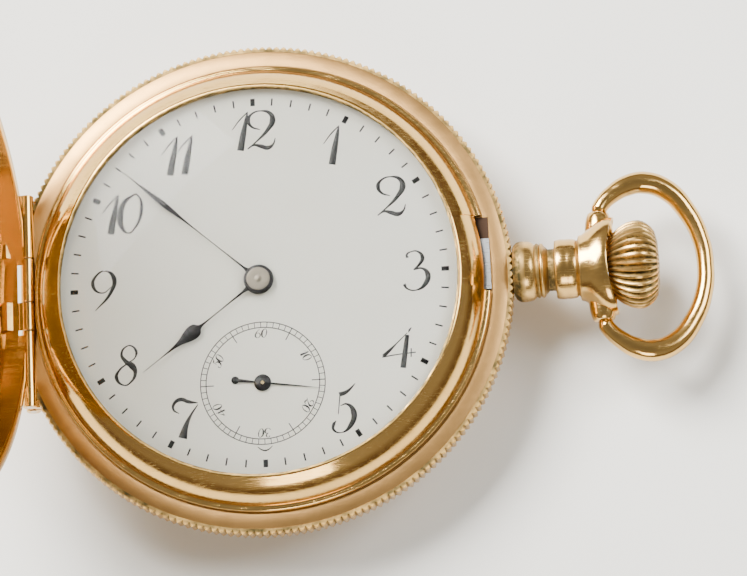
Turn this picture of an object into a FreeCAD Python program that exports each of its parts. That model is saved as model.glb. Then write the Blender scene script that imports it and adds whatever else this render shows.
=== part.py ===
import FreeCAD, Part
import math
import os
import Sketcher

# Hunter pocket watch, lying on its back with the front cover open.
# Millimetres. +X points to the pendant at three o'clock, +Y to twelve o'clock,
# +Z up out of the dial. The origin is the middle of the back cover's flat rest face.

doc = FreeCAD.newDocument("HunterWatch")
sheet = doc.addObject("Spreadsheet::Sheet", "Sizes")
V = FreeCAD.Vector


class Dim:
    """A size with the formula that ties it to the sheet."""

    def __init__(self, value, formula):
        self.value = float(value)
        self.formula = formula

    def __add__(self, other):
        other = dim(other)
        return Dim(self.value + other.value, f"({self.formula} + {other.formula})")

    def __sub__(self, other):
        other = dim(other)
        return Dim(self.value - other.value, f"({self.formula} - {other.formula})")

    def __mul__(self, other):
        other = dim(other)
        return Dim(self.value * other.value, f"({self.formula} * {other.formula})")

    def __truediv__(self, other):
        other = dim(other)
        return Dim(self.value / other.value, f"({self.formula} / {other.formula})")

    def __neg__(self):
        return Dim(-self.value, f"(-1 * {self.formula})")

    def __radd__(self, other):
        return dim(other) + self

    def __rsub__(self, other):
        return dim(other) - self

    def __rmul__(self, other):
        return dim(other) * self

    def __float__(self):
        return self.value


def dim(value):
    """A plain number as a size, or the size itself."""
    return value if isinstance(value, Dim) else Dim(value, repr(round(float(value), 9)))


rows = 0


def size(name, value):
    """One cell of the sheet, by its alias."""
    global rows
    rows += 1
    sheet.set(f"A{rows}", name)
    sheet.set(f"B{rows}", str(value))
    sheet.setAlias(f"B{rows}", name)
    return Dim(value, f"Sizes.{name}")


# Driving sizes: case
band_radius = size("band_radius", 17.5)
reed_depth = size("reed_depth", 0.22)
reed_count = size("reed_count", 150)
band_bottom = size("band_bottom", 4.05)
band_height = size("band_height", 1.4)
band_wall = size("band_wall", 2.9)
seat_step = size("seat_step", 0.45)
skirt_drop = size("skirt_drop", 1.05)
skirt_wall = size("skirt_wall", 0.9)
cover_wall = size("cover_wall", 0.45)
cover_flat = size("cover_flat", 7.0)
front_rise = size("front_rise", 4.3)
back_depth = size("back_depth", 4.05)
seat_width = size("seat_width", 1.55)
bezel_width = size("bezel_width", 2.22)
bezel_rise = size("bezel_rise", 2.28)
crystal_wall = size("crystal_wall", 0.4)
crystal_dome = size("crystal_dome", 0.77)
gap = size("gap", 0.05)
inner_slope = size("inner_slope", 2.0)
inner_hinge_inset = size("inner_hinge_inset", 0.35)

# Driving sizes: hinges, pendant, crown and bow
hinge_inset = size("hinge_inset", 1.1)
hinge_radius = size("hinge_radius", 0.5)
hinge_half = size("hinge_half", 7.6)
pin_radius = size("pin_radius", 0.22)
run_gap = size("run_gap", 0.03)
lid_open = size("lid_open", 101)
stem_height = size("stem_height", 4.75)
stem_radius = size("stem_radius", 0.4)
bulb_radius = size("bulb_radius", 2.1)
neck_radius = size("neck_radius", 1.45)
head_radius = size("head_radius", 2.02)
pendant_length = size("pendant_length", 6.7)
ear_reach = size("ear_reach", 3.85)
ear_setback = size("ear_setback", 0.7)
crown_clearance = size("crown_clearance", 0.35)
cup_depth = size("cup_depth", 0.85)
crown_length = size("crown_length", 3.0)
crown_radius = size("crown_radius", 3.05)
flute_count = size("flute_count", 34)
bow_width = size("bow_width", 6.0)
bow_reach = size("bow_reach", 6.62)
bow_wire = size("bow_wire", 0.7)
bow_tip = size("bow_tip", 0.4)
bow_droop = size("bow_droop", 10)

# Driving sizes: dial, hands and movement
dial_top = size("dial_top", 7.0)
dial_edge = size("dial_edge", 0.47)
dial_wall = size("dial_wall", 0.7)
hand_wall = size("hand_wall", 0.08)
hour_inset = size("hour_inset", 4.0)
minute_inset = size("minute_inset", 1.4)
seconds_length = size("seconds_length", 4.1)
seconds_place = size("seconds_place", 7.25)
plate_inset = size("plate_inset", 0.6)
plate_wall = size("plate_wall", 1.0)
train_depth = size("train_depth", 1.75)
bridge_wall = size("bridge_wall", 0.6)
wheel_wall = size("wheel_wall", 0.2)
staff_radius = size("staff_radius", 0.12)
jewel_radius = size("jewel_radius", 0.55)
jewel_wall = size("jewel_wall", 0.25)
doc.recompute()

# Places and heights that follow from those sizes
band_bore = band_radius - band_wall
bezel_radius = band_radius - seat_width
bezel_lip = bezel_radius - bezel_width
inner_flat = band_bore - inner_slope
hinge_reach = band_radius - hinge_inset
pendant_start = band_radius
head_end = pendant_start + pendant_length
ear_place = head_end - ear_setback
crown_start = head_end + crown_clearance
bow_end = head_end + bow_reach
dial_radius = bezel_lip + dial_edge
hour_length = dial_radius - hour_inset
minute_length = dial_radius - minute_inset
plate_radius = band_bore - plate_inset
flange_top = band_bottom + band_height
plate_top = dial_top - dial_wall - gap
plate_bottom = plate_top - plate_wall
bridge_top = plate_bottom - train_depth
bridge_bottom = bridge_top - bridge_wall


def plane(body, role):
    """An origin plane or axis of a body."""
    return next(item for item in body.Origin.OriginFeatures if item.Role == role)


def bind(item, place, value):
    """Tie a sketch constraint or a property to the sheet."""
    item.setExpression(place, dim(value).formula)


def add_outline(body, role, points, name):
    """A closed sketch through points (x, y) or (x, y, bulge), the bulge being the rise of an
    arc to the left of the run that starts there."""
    sketch = body.newObject("Sketcher::SketchObject", name)
    sketch.AttachmentSupport = [(plane(body, role), "")]
    sketch.MapMode = "FlatFace"
    ends = [V(float(p[0]), float(p[1]), 0) for p in points]
    count = len(points)
    for i, point in enumerate(points):
        start, end = ends[i], ends[(i + 1) % count]
        rise = float(point[2]) if len(point) > 2 else 0
        if abs(rise) > 1e-6:
            run = end - start
            side = V(-run.y, run.x, 0).normalize()
            middle = (start + end) * 0.5 + side * rise
            # a bulge to the left runs clockwise, and a sketch keeps its arcs anticlockwise
            arc = Part.Arc(end, middle, start) if rise > 0 else Part.Arc(start, middle, end)
            sketch.addGeometry(arc, False)
        else:
            sketch.addGeometry(Part.LineSegment(start, end), False)
    first, last = [], []
    for i in range(count):
        shape = sketch.Geometry[i]
        near = (shape.StartPoint - ends[i]).Length < (shape.EndPoint - ends[i]).Length
        first.append(1 if near else 2)
        last.append(2 if near else 1)
    for i in range(count):
        after = (i + 1) % count
        sketch.addConstraint(Sketcher.Constraint("Coincident", i, last[i], after, first[after]))
    for i, point in enumerate(points):
        for kind, axis, value in (("DistanceX", -2, point[0]), ("DistanceY", -1, point[1])):
            if abs(float(value)) < 1e-9:
                sketch.addConstraint(Sketcher.Constraint("PointOnObject", i, first[i], axis))
                continue
            index = sketch.addConstraint(
                Sketcher.Constraint(kind, -1, 1, i, first[i], float(value)))
            if "Sizes" in dim(value).formula:
                bind(sketch, f"Constraints[{index}]", value)
        if len(point) > 2 and abs(float(point[2])) > 1e-6:
            sketch.addConstraint(Sketcher.Constraint("Radius", i, sketch.Geometry[i].Radius))
    return sketch


def new_body(label, at=(0, 0, 0), turn=None):
    """A named piece at its place; turn is a rotation."""
    body = doc.addObject("PartDesign::Body", label)
    body.Label = label
    body.Placement = FreeCAD.Placement(V(*[float(c) for c in at]), turn or FreeCAD.Rotation())
    return body


def revolve(body, points, kind="Revolution"):
    """Turn an outline of (radius, height) about the body's Z axis, as metal or as a groove."""
    sketch = add_outline(body, "XZ_Plane", points, body.Label + "_outline")
    turned = body.newObject("PartDesign::" + kind, body.Label + "_turned")
    turned.Profile = sketch
    turned.ReferenceAxis = (plane(body, "Z_Axis"), [""])
    turned.Angle = 360
    return turned


def pad(body, points, low, high, role="XY_Plane", kind="Pad"):
    """Raise or cut a flat outline from one height to another."""
    sketch = add_outline(body, role, points, body.Label + "_shape")
    sketch.AttachmentOffset = FreeCAD.Placement(V(0, 0, float(low)), FreeCAD.Rotation())
    if "Sizes" in dim(low).formula:
        bind(sketch, "AttachmentOffset.Base.z", low)
    raised = body.newObject("PartDesign::" + kind, body.Label + "_raised")
    raised.Profile = sketch
    raised.Reversed = kind == "Pocket"
    raised.Length = float(dim(high) - low)
    bind(raised, "Length", dim(high) - low)
    return raised


def circle_pad(body, centre, radius, low, high, kind="Pad"):
    """A round boss or a round hole between two heights."""
    sketch = body.newObject("Sketcher::SketchObject", body.Label + "_round")
    sketch.AttachmentSupport = [(plane(body, "XY_Plane"), "")]
    sketch.MapMode = "FlatFace"
    sketch.AttachmentOffset = FreeCAD.Placement(V(0, 0, float(low)), FreeCAD.Rotation())
    if "Sizes" in dim(low).formula:
        bind(sketch, "AttachmentOffset.Base.z", low)
    middle = V(float(centre[0]), float(centre[1]), 0)
    sketch.addGeometry(Part.Circle(middle, V(0, 0, 1), float(radius)), False)
    index = sketch.addConstraint(Sketcher.Constraint("Radius", 0, float(radius)))
    if "Sizes" in dim(radius).formula:
        bind(sketch, f"Constraints[{index}]", radius)
    for kind_of, axis, value in (("DistanceX", -2, centre[0]), ("DistanceY", -1, centre[1])):
        if abs(float(value)) < 1e-9:
            sketch.addConstraint(Sketcher.Constraint("PointOnObject", 0, 3, axis))
            continue
        index = sketch.addConstraint(Sketcher.Constraint(kind_of, -1, 1, 0, 3, float(value)))
        if "Sizes" in dim(value).formula:
            bind(sketch, f"Constraints[{index}]", value)
    raised = body.newObject("PartDesign::" + kind, body.Label + "_boss")
    raised.Profile = sketch
    raised.Reversed = kind == "Pocket"
    raised.Length = float(dim(high) - low)
    bind(raised, "Length", dim(high) - low)
    return raised


def feature(label, shape, at=(0, 0, 0), turn=None):
    """A piece whose form comes from a formula, put at its place."""
    item = doc.addObject("Part::Feature", label)
    item.Label = label
    item.Shape = shape
    item.Placement = FreeCAD.Placement(V(*[float(c) for c in at]), turn or FreeCAD.Rotation())
    return item


def tube(radius, bore, low, high, at=(0, 0), direction=V(0, 0, 1)):
    """A plain tube or rod as a bare shape."""
    length = float(high) - float(low)
    if abs(direction.z) > 0.5:
        base = V(float(at[0]), float(at[1]), float(low))
    elif abs(direction.y) > 0.5:
        base = V(float(at[0]), float(low), float(at[1]))
    else:
        base = V(float(low), float(at[0]), float(at[1]))
    rod = Part.makeCylinder(float(radius), length, base, direction)
    if float(bore) > 0:
        rod = rod.cut(Part.makeCylinder(float(bore), length, base, direction))
    return rod


def polygon(points, low, high):
    """A straight prism on a closed run of points."""
    wire = Part.makePolygon([V(x, y, float(low)) for x, y in points + points[:1]])
    return Part.Face(wire).extrude(V(0, 0, float(high) - float(low)))


def gear_points(teeth, root, tip, phase=0.0, lands=(0.3, 0.16)):
    """The outline of straight-flanked teeth; lands are half widths at root and tip, in pitches."""
    points = []
    pitch = 2 * math.pi / teeth
    for k in range(teeth):
        middle = phase + k * pitch
        for share, radius in ((-lands[0], root), (-lands[1], tip), (lands[1], tip), (lands[0], root)):
            angle = middle + share * pitch
            points.append((radius * math.cos(angle), radius * math.sin(angle)))
    return points


def wheel_blank(teeth, module, bore, low, high, phase=0.0, arms=0, rim=0.45, hub=0.75):
    """A toothed wheel with arms, on the Z axis."""
    pitch_radius = teeth * float(module) / 2
    root = pitch_radius - 1.1 * float(module)
    tip = pitch_radius + 0.85 * float(module)
    blank = polygon(gear_points(teeth, root, tip, phase), low, high)
    height = float(high) - float(low)
    for k in range(arms):
        inner, outer = hub, root - rim
        half = math.pi / arms - 0.12
        middle = 2 * math.pi * (k + 0.5) / arms
        near = 0.2 / hub
        corners = [(inner, middle - half + near / 2), (outer, middle - half), (outer, middle + half),
                   (inner, middle + half - near / 2)]
        spots = [V(r * math.cos(a), r * math.sin(a), float(low)) for r, a in corners]
        crown = V(outer * math.cos(middle), outer * math.sin(middle), float(low))
        window = Part.Wire([Part.makeLine(spots[0], spots[1]),
                            Part.Arc(spots[1], crown, spots[2]).toShape(),
                            Part.makeLine(spots[2], spots[3]), Part.makeLine(spots[3], spots[0])])
        blank = blank.cut(Part.Face(window).extrude(V(0, 0, height)))
    if float(bore) > 0:
        blank = blank.cut(tube(bore, 0, low, high))
    return blank


ALONG_X = FreeCAD.Rotation(V(0, 1, 0), 90)
ALONG_Y = FreeCAD.Rotation(V(1, 0, 0), -90)


def front_hinge_turn():
    """The front cover's place when it stands open."""
    axis = V(-float(hinge_reach), 0, float(flange_top))
    turn = FreeCAD.Rotation(V(0, -1, 0), float(lid_open))
    return FreeCAD.Placement(axis - turn.multVec(axis), turn)


# The case band: a reeded ring with a stepped seat and a skirt for the inner cover
def make_band():
    outline = []
    turn = 2 * math.pi / int(float(reed_count))
    root = float(band_radius - reed_depth)
    for k in range(int(float(reed_count))):
        for share, radius in ((-0.5, root), (0.0, float(band_radius))):
            angle = (k + share) * turn
            outline.append((radius * math.cos(angle), radius * math.sin(angle)))
    ring = polygon(outline, band_bottom, flange_top)
    ring = ring.cut(tube(band_bore, 0, band_bottom, flange_top))
    outer = band_bore + skirt_wall
    skirt = tube(outer, band_bore, band_bottom - skirt_drop, band_bottom)
    ring = ring.fuse(skirt)
    # flats and grooves that take the hinge tubes
    width = 2 * float(hinge_half) + 0.1
    clear = float(hinge_radius + run_gap) + 0.02
    for height, low, high in ((flange_top, 0, 2), (band_bottom, -2, 0)):
        rod = Part.makeCylinder(clear, width, V(-float(hinge_reach), -width / 2, float(height)), V(0, 1, 0))
        box = Part.makeBox(3, width, clear, V(-float(hinge_reach) - 3, -width / 2,
                                             float(height) - (clear if high else 0)))
        ring = ring.cut(rod).cut(box)
    ring = ring.cut(tube(stem_radius + gap, 0, 12, 20, (0, stem_height), V(1, 0, 0)))
    slot = Part.makeBox(2.2, 5.4, 0.7, V(float(band_bore) - 0.6, -1.45, float(flange_top) - 0.7))
    ring = ring.cut(slot)
    for height, spans in ((flange_top, BAND_KNUCKLES_FRONT), (band_bottom, BAND_KNUCKLES_BACK)):
        for low, high in spans:
            knuckle = tube(hinge_radius, pin_radius + run_gap, low, high,
                           (-float(hinge_reach), height), V(0, 1, 0))
            leaf = Part.makeBox(0.9, high - low, 0.5, V(-float(hinge_reach) + 0.3, low,
                                float(height) - (0.6 if height is flange_top else -0.1)))
            ring = ring.fuse(leaf.cut(tube(hinge_radius, 0, low - 1, high + 1,
                             (-float(hinge_reach), height), V(0, 1, 0)))).fuse(knuckle)
    return feature("case_band", ring.removeSplitter())


BAND_KNUCKLES_FRONT = [(-7.6, -2.2), (-0.1, 3.0)]
COVER_KNUCKLES_FRONT = [(-2.15, -0.15), (3.05, 7.6)]
BAND_KNUCKLES_BACK = [(-7.6, -4.0), (-0.6, 3.0)]
COVER_KNUCKLES_BACK = [(-3.95, -0.65), (3.05, 7.6)]


def cut_chord(shape, x_limit, low, high):
    """Take off everything beyond a chord on the hinge side."""
    block = Part.makeBox(10, 40, float(high) - float(low), V(x_limit - 10, -20, float(low)))
    return shape.cut(block)


def turned_shape(points):
    """A bare turned shape on the Z axis from points (radius, height, bulge)."""
    spots = [V(float(p[0]), 0, float(p[1])) for p in points]
    edges = []
    for i, point in enumerate(points):
        start, end = spots[i], spots[(i + 1) % len(points)]
        rise = float(point[2]) if len(point) > 2 else 0
        if rise:
            run = end - start
            side = V(-run.z, 0, run.x).normalize()
            edges.append(Part.Arc(start, (start + end) * 0.5 + side * rise, end).toShape())
        else:
            edges.append(Part.makeLine(start, end))
    return Part.Face(Part.Wire(edges)).revolve(V(0, 0, 0), V(0, 0, 1), 360)


def curve(start, end, rise, runs=4):
    """The points of a shallow curve from start to end, in equal runs, without its end."""
    across, along = float(end[0]) - float(start[0]), float(end[1]) - float(start[1])
    length = math.hypot(across, along)
    points = []
    for k in range(runs):
        share = k / runs
        lift = 4 * rise * share * (1 - share) / length
        points.append((dim(start[0]) * (1 - share) + dim(end[0]) * share - along * lift,
                       dim(start[1]) * (1 - share) + dim(end[1]) * share + across * lift))
    return points


def make_front_cover():
    seat = flange_top + gap
    top = flange_top + front_rise
    outer = band_radius - seat_step
    inside = curve((cover_flat, top - cover_wall), (outer - 1.1, seat + 1.4), 0.6)
    outside = curve((outer - 0.6, seat + 1.45), (cover_flat, top), -0.62)
    shape = turned_shape([(0, top - cover_wall)] + inside + [
        (outer - 1.1, seat + 1.4), (outer - 0.95, seat), (outer, seat),
        (outer - 0.1, seat + 0.4)] + outside + [(cover_flat, top), (0, top)])
    shape = cut_chord(shape, -float(hinge_reach) + float(hinge_radius) + 0.05, seat - 1, top + 1)
    return with_leaves(shape, COVER_KNUCKLES_FRONT, flange_top, 1)


def with_leaves(shape, spans, height, way):
    """Add a cover's own knuckles, each on a slanted leaf that reaches its rim."""
    x = -float(hinge_reach)
    z = float(height)
    leaf = [(0.30, 0.25), (0.45, 0.2), (0.47, 0.75), (0.95, 1.2), (0.95, 1.6), (0.38, 1.2)]
    for low, high in spans:
        spots = [V(x + a, low, z + way * b) for a, b in leaf]
        block = Part.Face(Part.makePolygon(spots + spots[:1])).extrude(V(0, high - low, 0))
        rod = tube(hinge_radius, 0, low, high, (x, z), V(0, 1, 0))
        shape = shape.fuse(block).fuse(rod)
        shape = shape.cut(tube(pin_radius + run_gap, 0, low - 0.5, high + 0.5, (x, z), V(0, 1, 0)))
    return shape


def make_back_cover():
    seat = band_bottom - gap
    outer = band_radius - seat_step
    outside = curve((cover_flat, 0), (outer - 0.6, seat - 1.45), -0.62)
    inside = curve((outer - 1.1, seat - 1.4), (cover_flat, cover_wall), 0.6)
    shape = turned_shape([(0, 0)] + outside + [
        (outer - 0.6, seat - 1.45), (outer - 0.1, seat - 0.4), (outer, seat),
        (outer - 0.95, seat)] + inside + [(cover_flat, cover_wall), (0, cover_wall)])
    shape = cut_chord(shape, -float(hinge_reach) + float(hinge_radius) + 0.05, -1, seat + 1)
    return feature("back_cover", with_leaves(shape, COVER_KNUCKLES_BACK, band_bottom, -1))


def make_inner_cover():
    """The dust cover inside the back, with its own small knuckle."""
    rim = band_bottom - skirt_drop - gap
    outer = band_bore + skirt_wall
    flat = rim - 1.15
    outside = curve((inner_flat, flat - 0.3), (outer, rim - 0.35), -0.1, 3)
    inside = curve((band_bore - 0.2, rim - 0.3), (inner_flat, flat), 0.1, 3)
    shape = turned_shape([(0, flat - 0.3)] + outside + [
        (outer, rim - 0.35), (outer, rim), (band_bore, rim)] + inside + [(inner_flat, flat), (0, flat)])
    x = -float(outer - inner_hinge_inset)
    z = float(rim) - 0.32
    shape = cut_chord(shape, x + 0.36, 0, 5)
    leaf = Part.makeBox(0.6, 3.0, 0.25, V(x + 0.1, -1.5, z - 0.1))
    rod = tube(0.28, 0, -1.5, 1.5, (x, z), V(0, 1, 0))
    shape = shape.fuse(leaf).fuse(rod)
    shape = shape.cut(tube(0.15, 0, -3, 3, (x, z), V(0, 1, 0)))
    return feature("inner_cover", shape)


def make_hinge_pins():
    for label, height, half in (("front_hinge_pin", flange_top, hinge_half),
                                ("back_hinge_pin", band_bottom, hinge_half)):
        pin = doc.addObject("Part::Cylinder", label)
        pin.Label = label
        bind(pin, "Radius", pin_radius)
        bind(pin, "Height", half * 2)
        pin.Placement = FreeCAD.Placement(V(-float(hinge_reach), -float(half), float(height)), ALONG_Y)


def make_bezel():
    body = new_body("bezel", (0, 0, flange_top + gap))
    slope = curve((bezel_radius - 0.22, 0.42), (bezel_lip + 0.3, bezel_rise - 0.06), -0.22, 3)
    revolve(body, [
        (bezel_radius - 1.5, 0), (bezel_radius, 0), (bezel_radius, 0.3)] + slope + [
        (bezel_lip + 0.3, bezel_rise - 0.06), (bezel_lip, bezel_rise), (bezel_lip, bezel_rise - 0.12),
        (bezel_lip + 0.24, bezel_rise - 0.12), (bezel_lip + 0.24, bezel_rise - 0.4),
        (bezel_lip + 0.07, bezel_rise - 0.4), (bezel_lip + 0.07, dial_top - flange_top),
        (bezel_radius - 1.5, dial_top - flange_top)])
    reach = hinge_reach - hinge_radius - gap
    pad(body, [(-reach, -4), (-reach, 4), (-reach - 2, 4), (-reach - 2, -4)], 0, 1.0, kind="Pocket")
    catch = bezel_radius - 1.05
    pad(body, [(catch, -1.45), (catch + 2.3, -1.45), (catch + 2.3, 3.95), (catch, 3.95)], 0, 0.55, kind="Pocket")


def make_crystal():
    rim = bezel_lip + 0.2
    body = new_body("crystal", (0, 0, flange_top + gap + bezel_rise - 0.38))
    under = curve((0.6, crystal_dome), (rim - 0.25, 0), 0.35)
    over = curve((rim - 0.1, 0.22), (0.6, crystal_dome + crystal_wall), -0.3)
    revolve(body, [(0, crystal_dome)] + under + [(rim - 0.25, 0), (rim, 0), (rim, 0.22)] + over + [
        (0.6, crystal_dome + crystal_wall), (0, crystal_dome + crystal_wall)])


def make_pendant():
    """The pendant: bulb, neck and a head hollowed for the crown, with the bow's ears."""
    body = new_body("pendant_blank", (0, 0, stem_height), ALONG_X)
    bore = stem_radius + gap + 0.35
    start = pendant_start
    floor = head_end - cup_depth
    revolve(body, [
        (bore, start), (bulb_radius - 0.5, start), (bulb_radius, start + 0.55, -0.1),
        (bulb_radius - 0.35, start + 1.55), (bulb_radius - 0.3, start + 1.75),
        (bulb_radius - 0.3, start + 2.25), (neck_radius, start + 2.5), (neck_radius, start + 2.95),
        (head_radius, start + 3.05), (head_radius, start + 4.45), (head_radius + 0.75, head_end - 0.5),
        (head_radius + 0.8, head_end), (head_radius + 0.6, head_end), (head_radius + 0.2, floor),
        (bore, floor)])
    return body


def make_ears():
    """Two short horns of the pendant head that carry the bow's ends."""
    shapes = []
    for side in (-1, 1):
        rod = Part.makeCone(1.05, 0.85, float(ear_reach - head_radius) + 0.3,
                            V(float(ear_place), side * (float(head_radius) - 0.3), float(stem_height)),
                            V(0, side, 0))
        shapes.append(rod)
    return shapes


def finish_pendant():
    """Join the horns to the turned pendant and bore them for the bow's tips."""
    turned = make_pendant()
    doc.recompute()
    shape = turned.Shape.copy()
    keep = tube(float(head_radius) + 0.45, 0, float(head_end - cup_depth), float(crown_start) + 4,
                (0, stem_height), V(1, 0, 0))
    for ear in make_ears():
        shape = shape.fuse(ear.cut(keep))
    hole = Part.makeCylinder(float(bow_tip), 20, V(float(ear_place), -10, float(stem_height)), V(0, 1, 0))
    inner = Part.makeBox(4, 2 * (float(ear_reach) - 0.9), 4,
                         V(float(ear_place) - 2, -float(ear_reach) + 0.9, float(stem_height) - 2))
    shape = shape.cut(hole.cut(inner))
    return shape


def make_bow():
    """The bow: a ring of round wire, flattened towards its tips, which turn in the horns."""
    x0 = float(ear_place)
    half = float(bow_width)
    end = float(bow_end)
    tip_y = float(ear_reach) - 0.75
    out_y = float(ear_reach) + 0.35
    wire_r = float(bow_wire)
    side_x = x0 + 3.4
    spots = [V(x0, tip_y, 0), V(x0, out_y, 0)]
    path = [Part.makeLine(spots[0], spots[1])]
    bend = V(x0 + 0.45, out_y + 0.75, 0)
    path.append(Part.Arc(spots[1], V(x0 + 0.12, out_y + 0.42, 0), bend).toShape())
    path.append(Part.Arc(bend, V(x0 + 1.75, half - 0.27, 0), V(side_x, half, 0)).toShape())
    middle = V(side_x + (end - side_x) * 0.72, half * 0.70, 0)
    path.append(Part.Arc(V(side_x, half, 0), middle, V(end, 0, 0)).toShape())
    half_wire = Part.Wire(path)
    rings = []
    length = half_wire.Length
    stations = [0.0, 0.055, 0.11, 0.17, 0.25, 0.34, 0.43, 0.52, 0.62, 0.72, 0.81, 0.90, 1.0]
    points = half_wire.discretize(201)
    for share in stations:
        k = min(200, int(round(share * 200)))
        here = points[k]
        before = points[max(0, k - 1)]
        after = points[min(200, k + 1)]
        along = (after - before).normalize()
        if share < 0.1:
            along = V(0, 1, 0)
        if share == 1.0:
            along = V(0, -1, 0)
        radius = 0.36 if share < 0.1 else wire_r * (0.82 + 0.25 * math.sin(math.pi * min(1, share * 1.25)))
        across = V(0, 0, 1).cross(along).normalize()
        corners = [here + across * (radius * math.cos(a)) + V(0, 0, radius * math.sin(a))
                   for a in [2 * math.pi * (i + 0.5) / 14 for i in range(14)]]
        rings.append(Part.makePolygon(corners + corners[:1]))
    side_a = Part.makeLoft(rings, True, True)
    side_b = side_a.mirror(V(0, 0, 0), V(0, 1, 0))
    ring = side_a.fuse(side_b)
    ring.rotate(V(x0, 0, 0), V(0, 1, 0), float(bow_droop))
    return feature("bow", ring, (0, 0, stem_height))


def make_crown():
    """The fluted onion crown with its post."""
    flutes = int(float(flute_count))
    stations = [(0.0, 0.62), (0.2, 0.84), (0.5, 0.985), (0.64, 1.0), (0.83, 0.86), (1.0, 0.5)]
    rings = []
    for share, swell in stations:
        height = float(crown_length) * share
        tip = float(crown_radius) * swell
        root = tip * 0.93
        outline = []
        for k in range(flutes):
            for part, radius in ((-0.25, tip), (0.25, root)):
                angle = 2 * math.pi * (k + part) / flutes
                outline.append(V(radius * math.cos(angle), radius * math.sin(angle), height))
        rings.append(Part.makePolygon(outline + outline[:1]))
    solid = Part.makeLoft(rings, True, True)
    bore = tube(stem_radius, 0, -1, 1.6)
    solid = solid.cut(bore)
    solid = solid.cut(tube(1.3, 0, -0.1, 0.5))
    return feature("crown", solid, (crown_start, 0, stem_height), ALONG_X)


def make_stem():
    """The winding stem: round through the sleeve, stepped down to its pivot in the plate."""
    start = 8.9
    body = new_body("winding_stem", (0, 0, stem_height), ALONG_X)
    revolve(body, [
        (0, start), (0.22, start), (0.22, start + 0.6), (stem_radius, start + 0.6),
        (stem_radius, 13.3), (0.25, 13.3), (0.25, 13.7), (stem_radius, 13.7),
        (stem_radius - 0.005, crown_start + 1.5), (0, crown_start + 1.5)])
    sleeve = new_body("pendant_sleeve", (0, 0, stem_height), ALONG_X)
    revolve(sleeve, [
        (stem_radius + run_gap, pendant_start + 0.5), (stem_radius + gap + 0.34, pendant_start + 0.5),
        (stem_radius + gap + 0.34, head_end - cup_depth - 0.1), (stem_radius + run_gap, head_end - cup_depth - 0.1)])


def make_winding_pinions():
    """The winding pinion with face teeth's disc, and the sliding clutch wheel behind it."""
    pinion = wheel_blank(13, 0.17, stem_radius + run_gap, 0, 0.8)
    collar = tube(0.85, stem_radius + run_gap, 0.8, 1.15)
    feature("winding_pinion", pinion.fuse(collar), (10.3, 0, stem_height), ALONG_X)
    clutch = tube(0.85, stem_radius + run_gap, 0, 0.45).fuse(tube(0.6, stem_radius + run_gap, 0.45, 0.8))
    clutch = clutch.fuse(tube(0.85, stem_radius + run_gap, 0.8, 1.1))
    feature("clutch_wheel", clutch, (11.75, 0, stem_height), ALONG_X)


def make_case_springs():
    """The bent steel springs in the band: one lifts the front cover, one holds it shut."""
    top = float(flange_top)
    inner = float(band_bore) - 0.0
    lift = arc_strip(inner - 0.28, inner - 0.02, 100, 160, top - 1.15, top - 0.35)
    feature("lift_spring", lift)
    lock = arc_strip(inner - 0.28, inner - 0.02, 12, 62, top - 1.15, top - 0.15)
    nose = Part.makeBox(1.2, 3.6, 0.45, V(inner - 0.2, -1.25, top - 0.6))
    tip = Part.makeBox(0.68, 3.6, 0.72, V(float(bezel_radius) - 0.72, -1.25, top - 0.6))
    arm = arc_strip(inner - 0.28, inner - 0.02, -4.8, 12.1, top - 0.75, top - 0.15)
    spring = lock.fuse(arm).fuse(nose).fuse(tip)
    spring = spring.cut(tube(float(stem_radius) + 0.12, 0, 10, 20, (0, stem_height), V(1, 0, 0)))
    feature("lock_spring", spring.removeSplitter())


def arc_strip(inner, outer, start, end, low, high):
    """A piece of a flat ring between two angles in degrees."""
    a, b = math.radians(start), math.radians(end)
    middle = (a + b) / 2
    spot = lambda r, t: V(r * math.cos(t), r * math.sin(t), low)
    edges = [Part.Arc(spot(inner, a), spot(inner, middle), spot(inner, b)).toShape(),
             Part.makeLine(spot(inner, b), spot(outer, b)),
             Part.Arc(spot(outer, b), spot(outer, middle), spot(outer, a)).toShape(),
             Part.makeLine(spot(outer, a), spot(inner, a))]
    return Part.Face(Part.Wire(edges)).extrude(V(0, 0, high - low))


def make_dial():
    body = new_body("dial", (0, 0, dial_top))
    revolve(body, [(0.95, -dial_wall), (dial_radius - 0.3, -dial_wall), (dial_radius, -0.3),
                   (dial_radius - 0.05, 0), (0.95, 0)])
    circle_pad(body, (0, -seconds_place), 0.32, -dial_wall, 0, kind="Pocket")


def hand(label, outline, hub, bore, height, turn, at=(0, 0)):
    """A flat hand on the +Y axis, turned to its place."""
    spots = [(x, y) for x, y in outline]
    spots += [(-x, y) for x, y in reversed(outline) if x > 1e-6]
    wall = float(hand_wall)
    wire = Part.makePolygon([V(x, y, 0) for x, y in spots + spots[:1]])
    shape = Part.Face(wire).extrude(V(0, 0, wall))
    shape = shape.fuse(tube(hub, 0, 0, wall)).removeSplitter()
    if bore:
        shape = shape.cut(tube(bore, 0, -1, 1))
    return feature(label, shape, (at[0], at[1], height), FreeCAD.Rotation(V(0, 0, 1), turn))


hour_height = dial_top + 0.25
minute_height = dial_top + 0.42
seconds_height = dial_top + 0.08
HOUR_TURN = 126.5
MINUTE_TURN = 48.0
SECONDS_TURN = -98.6


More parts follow.
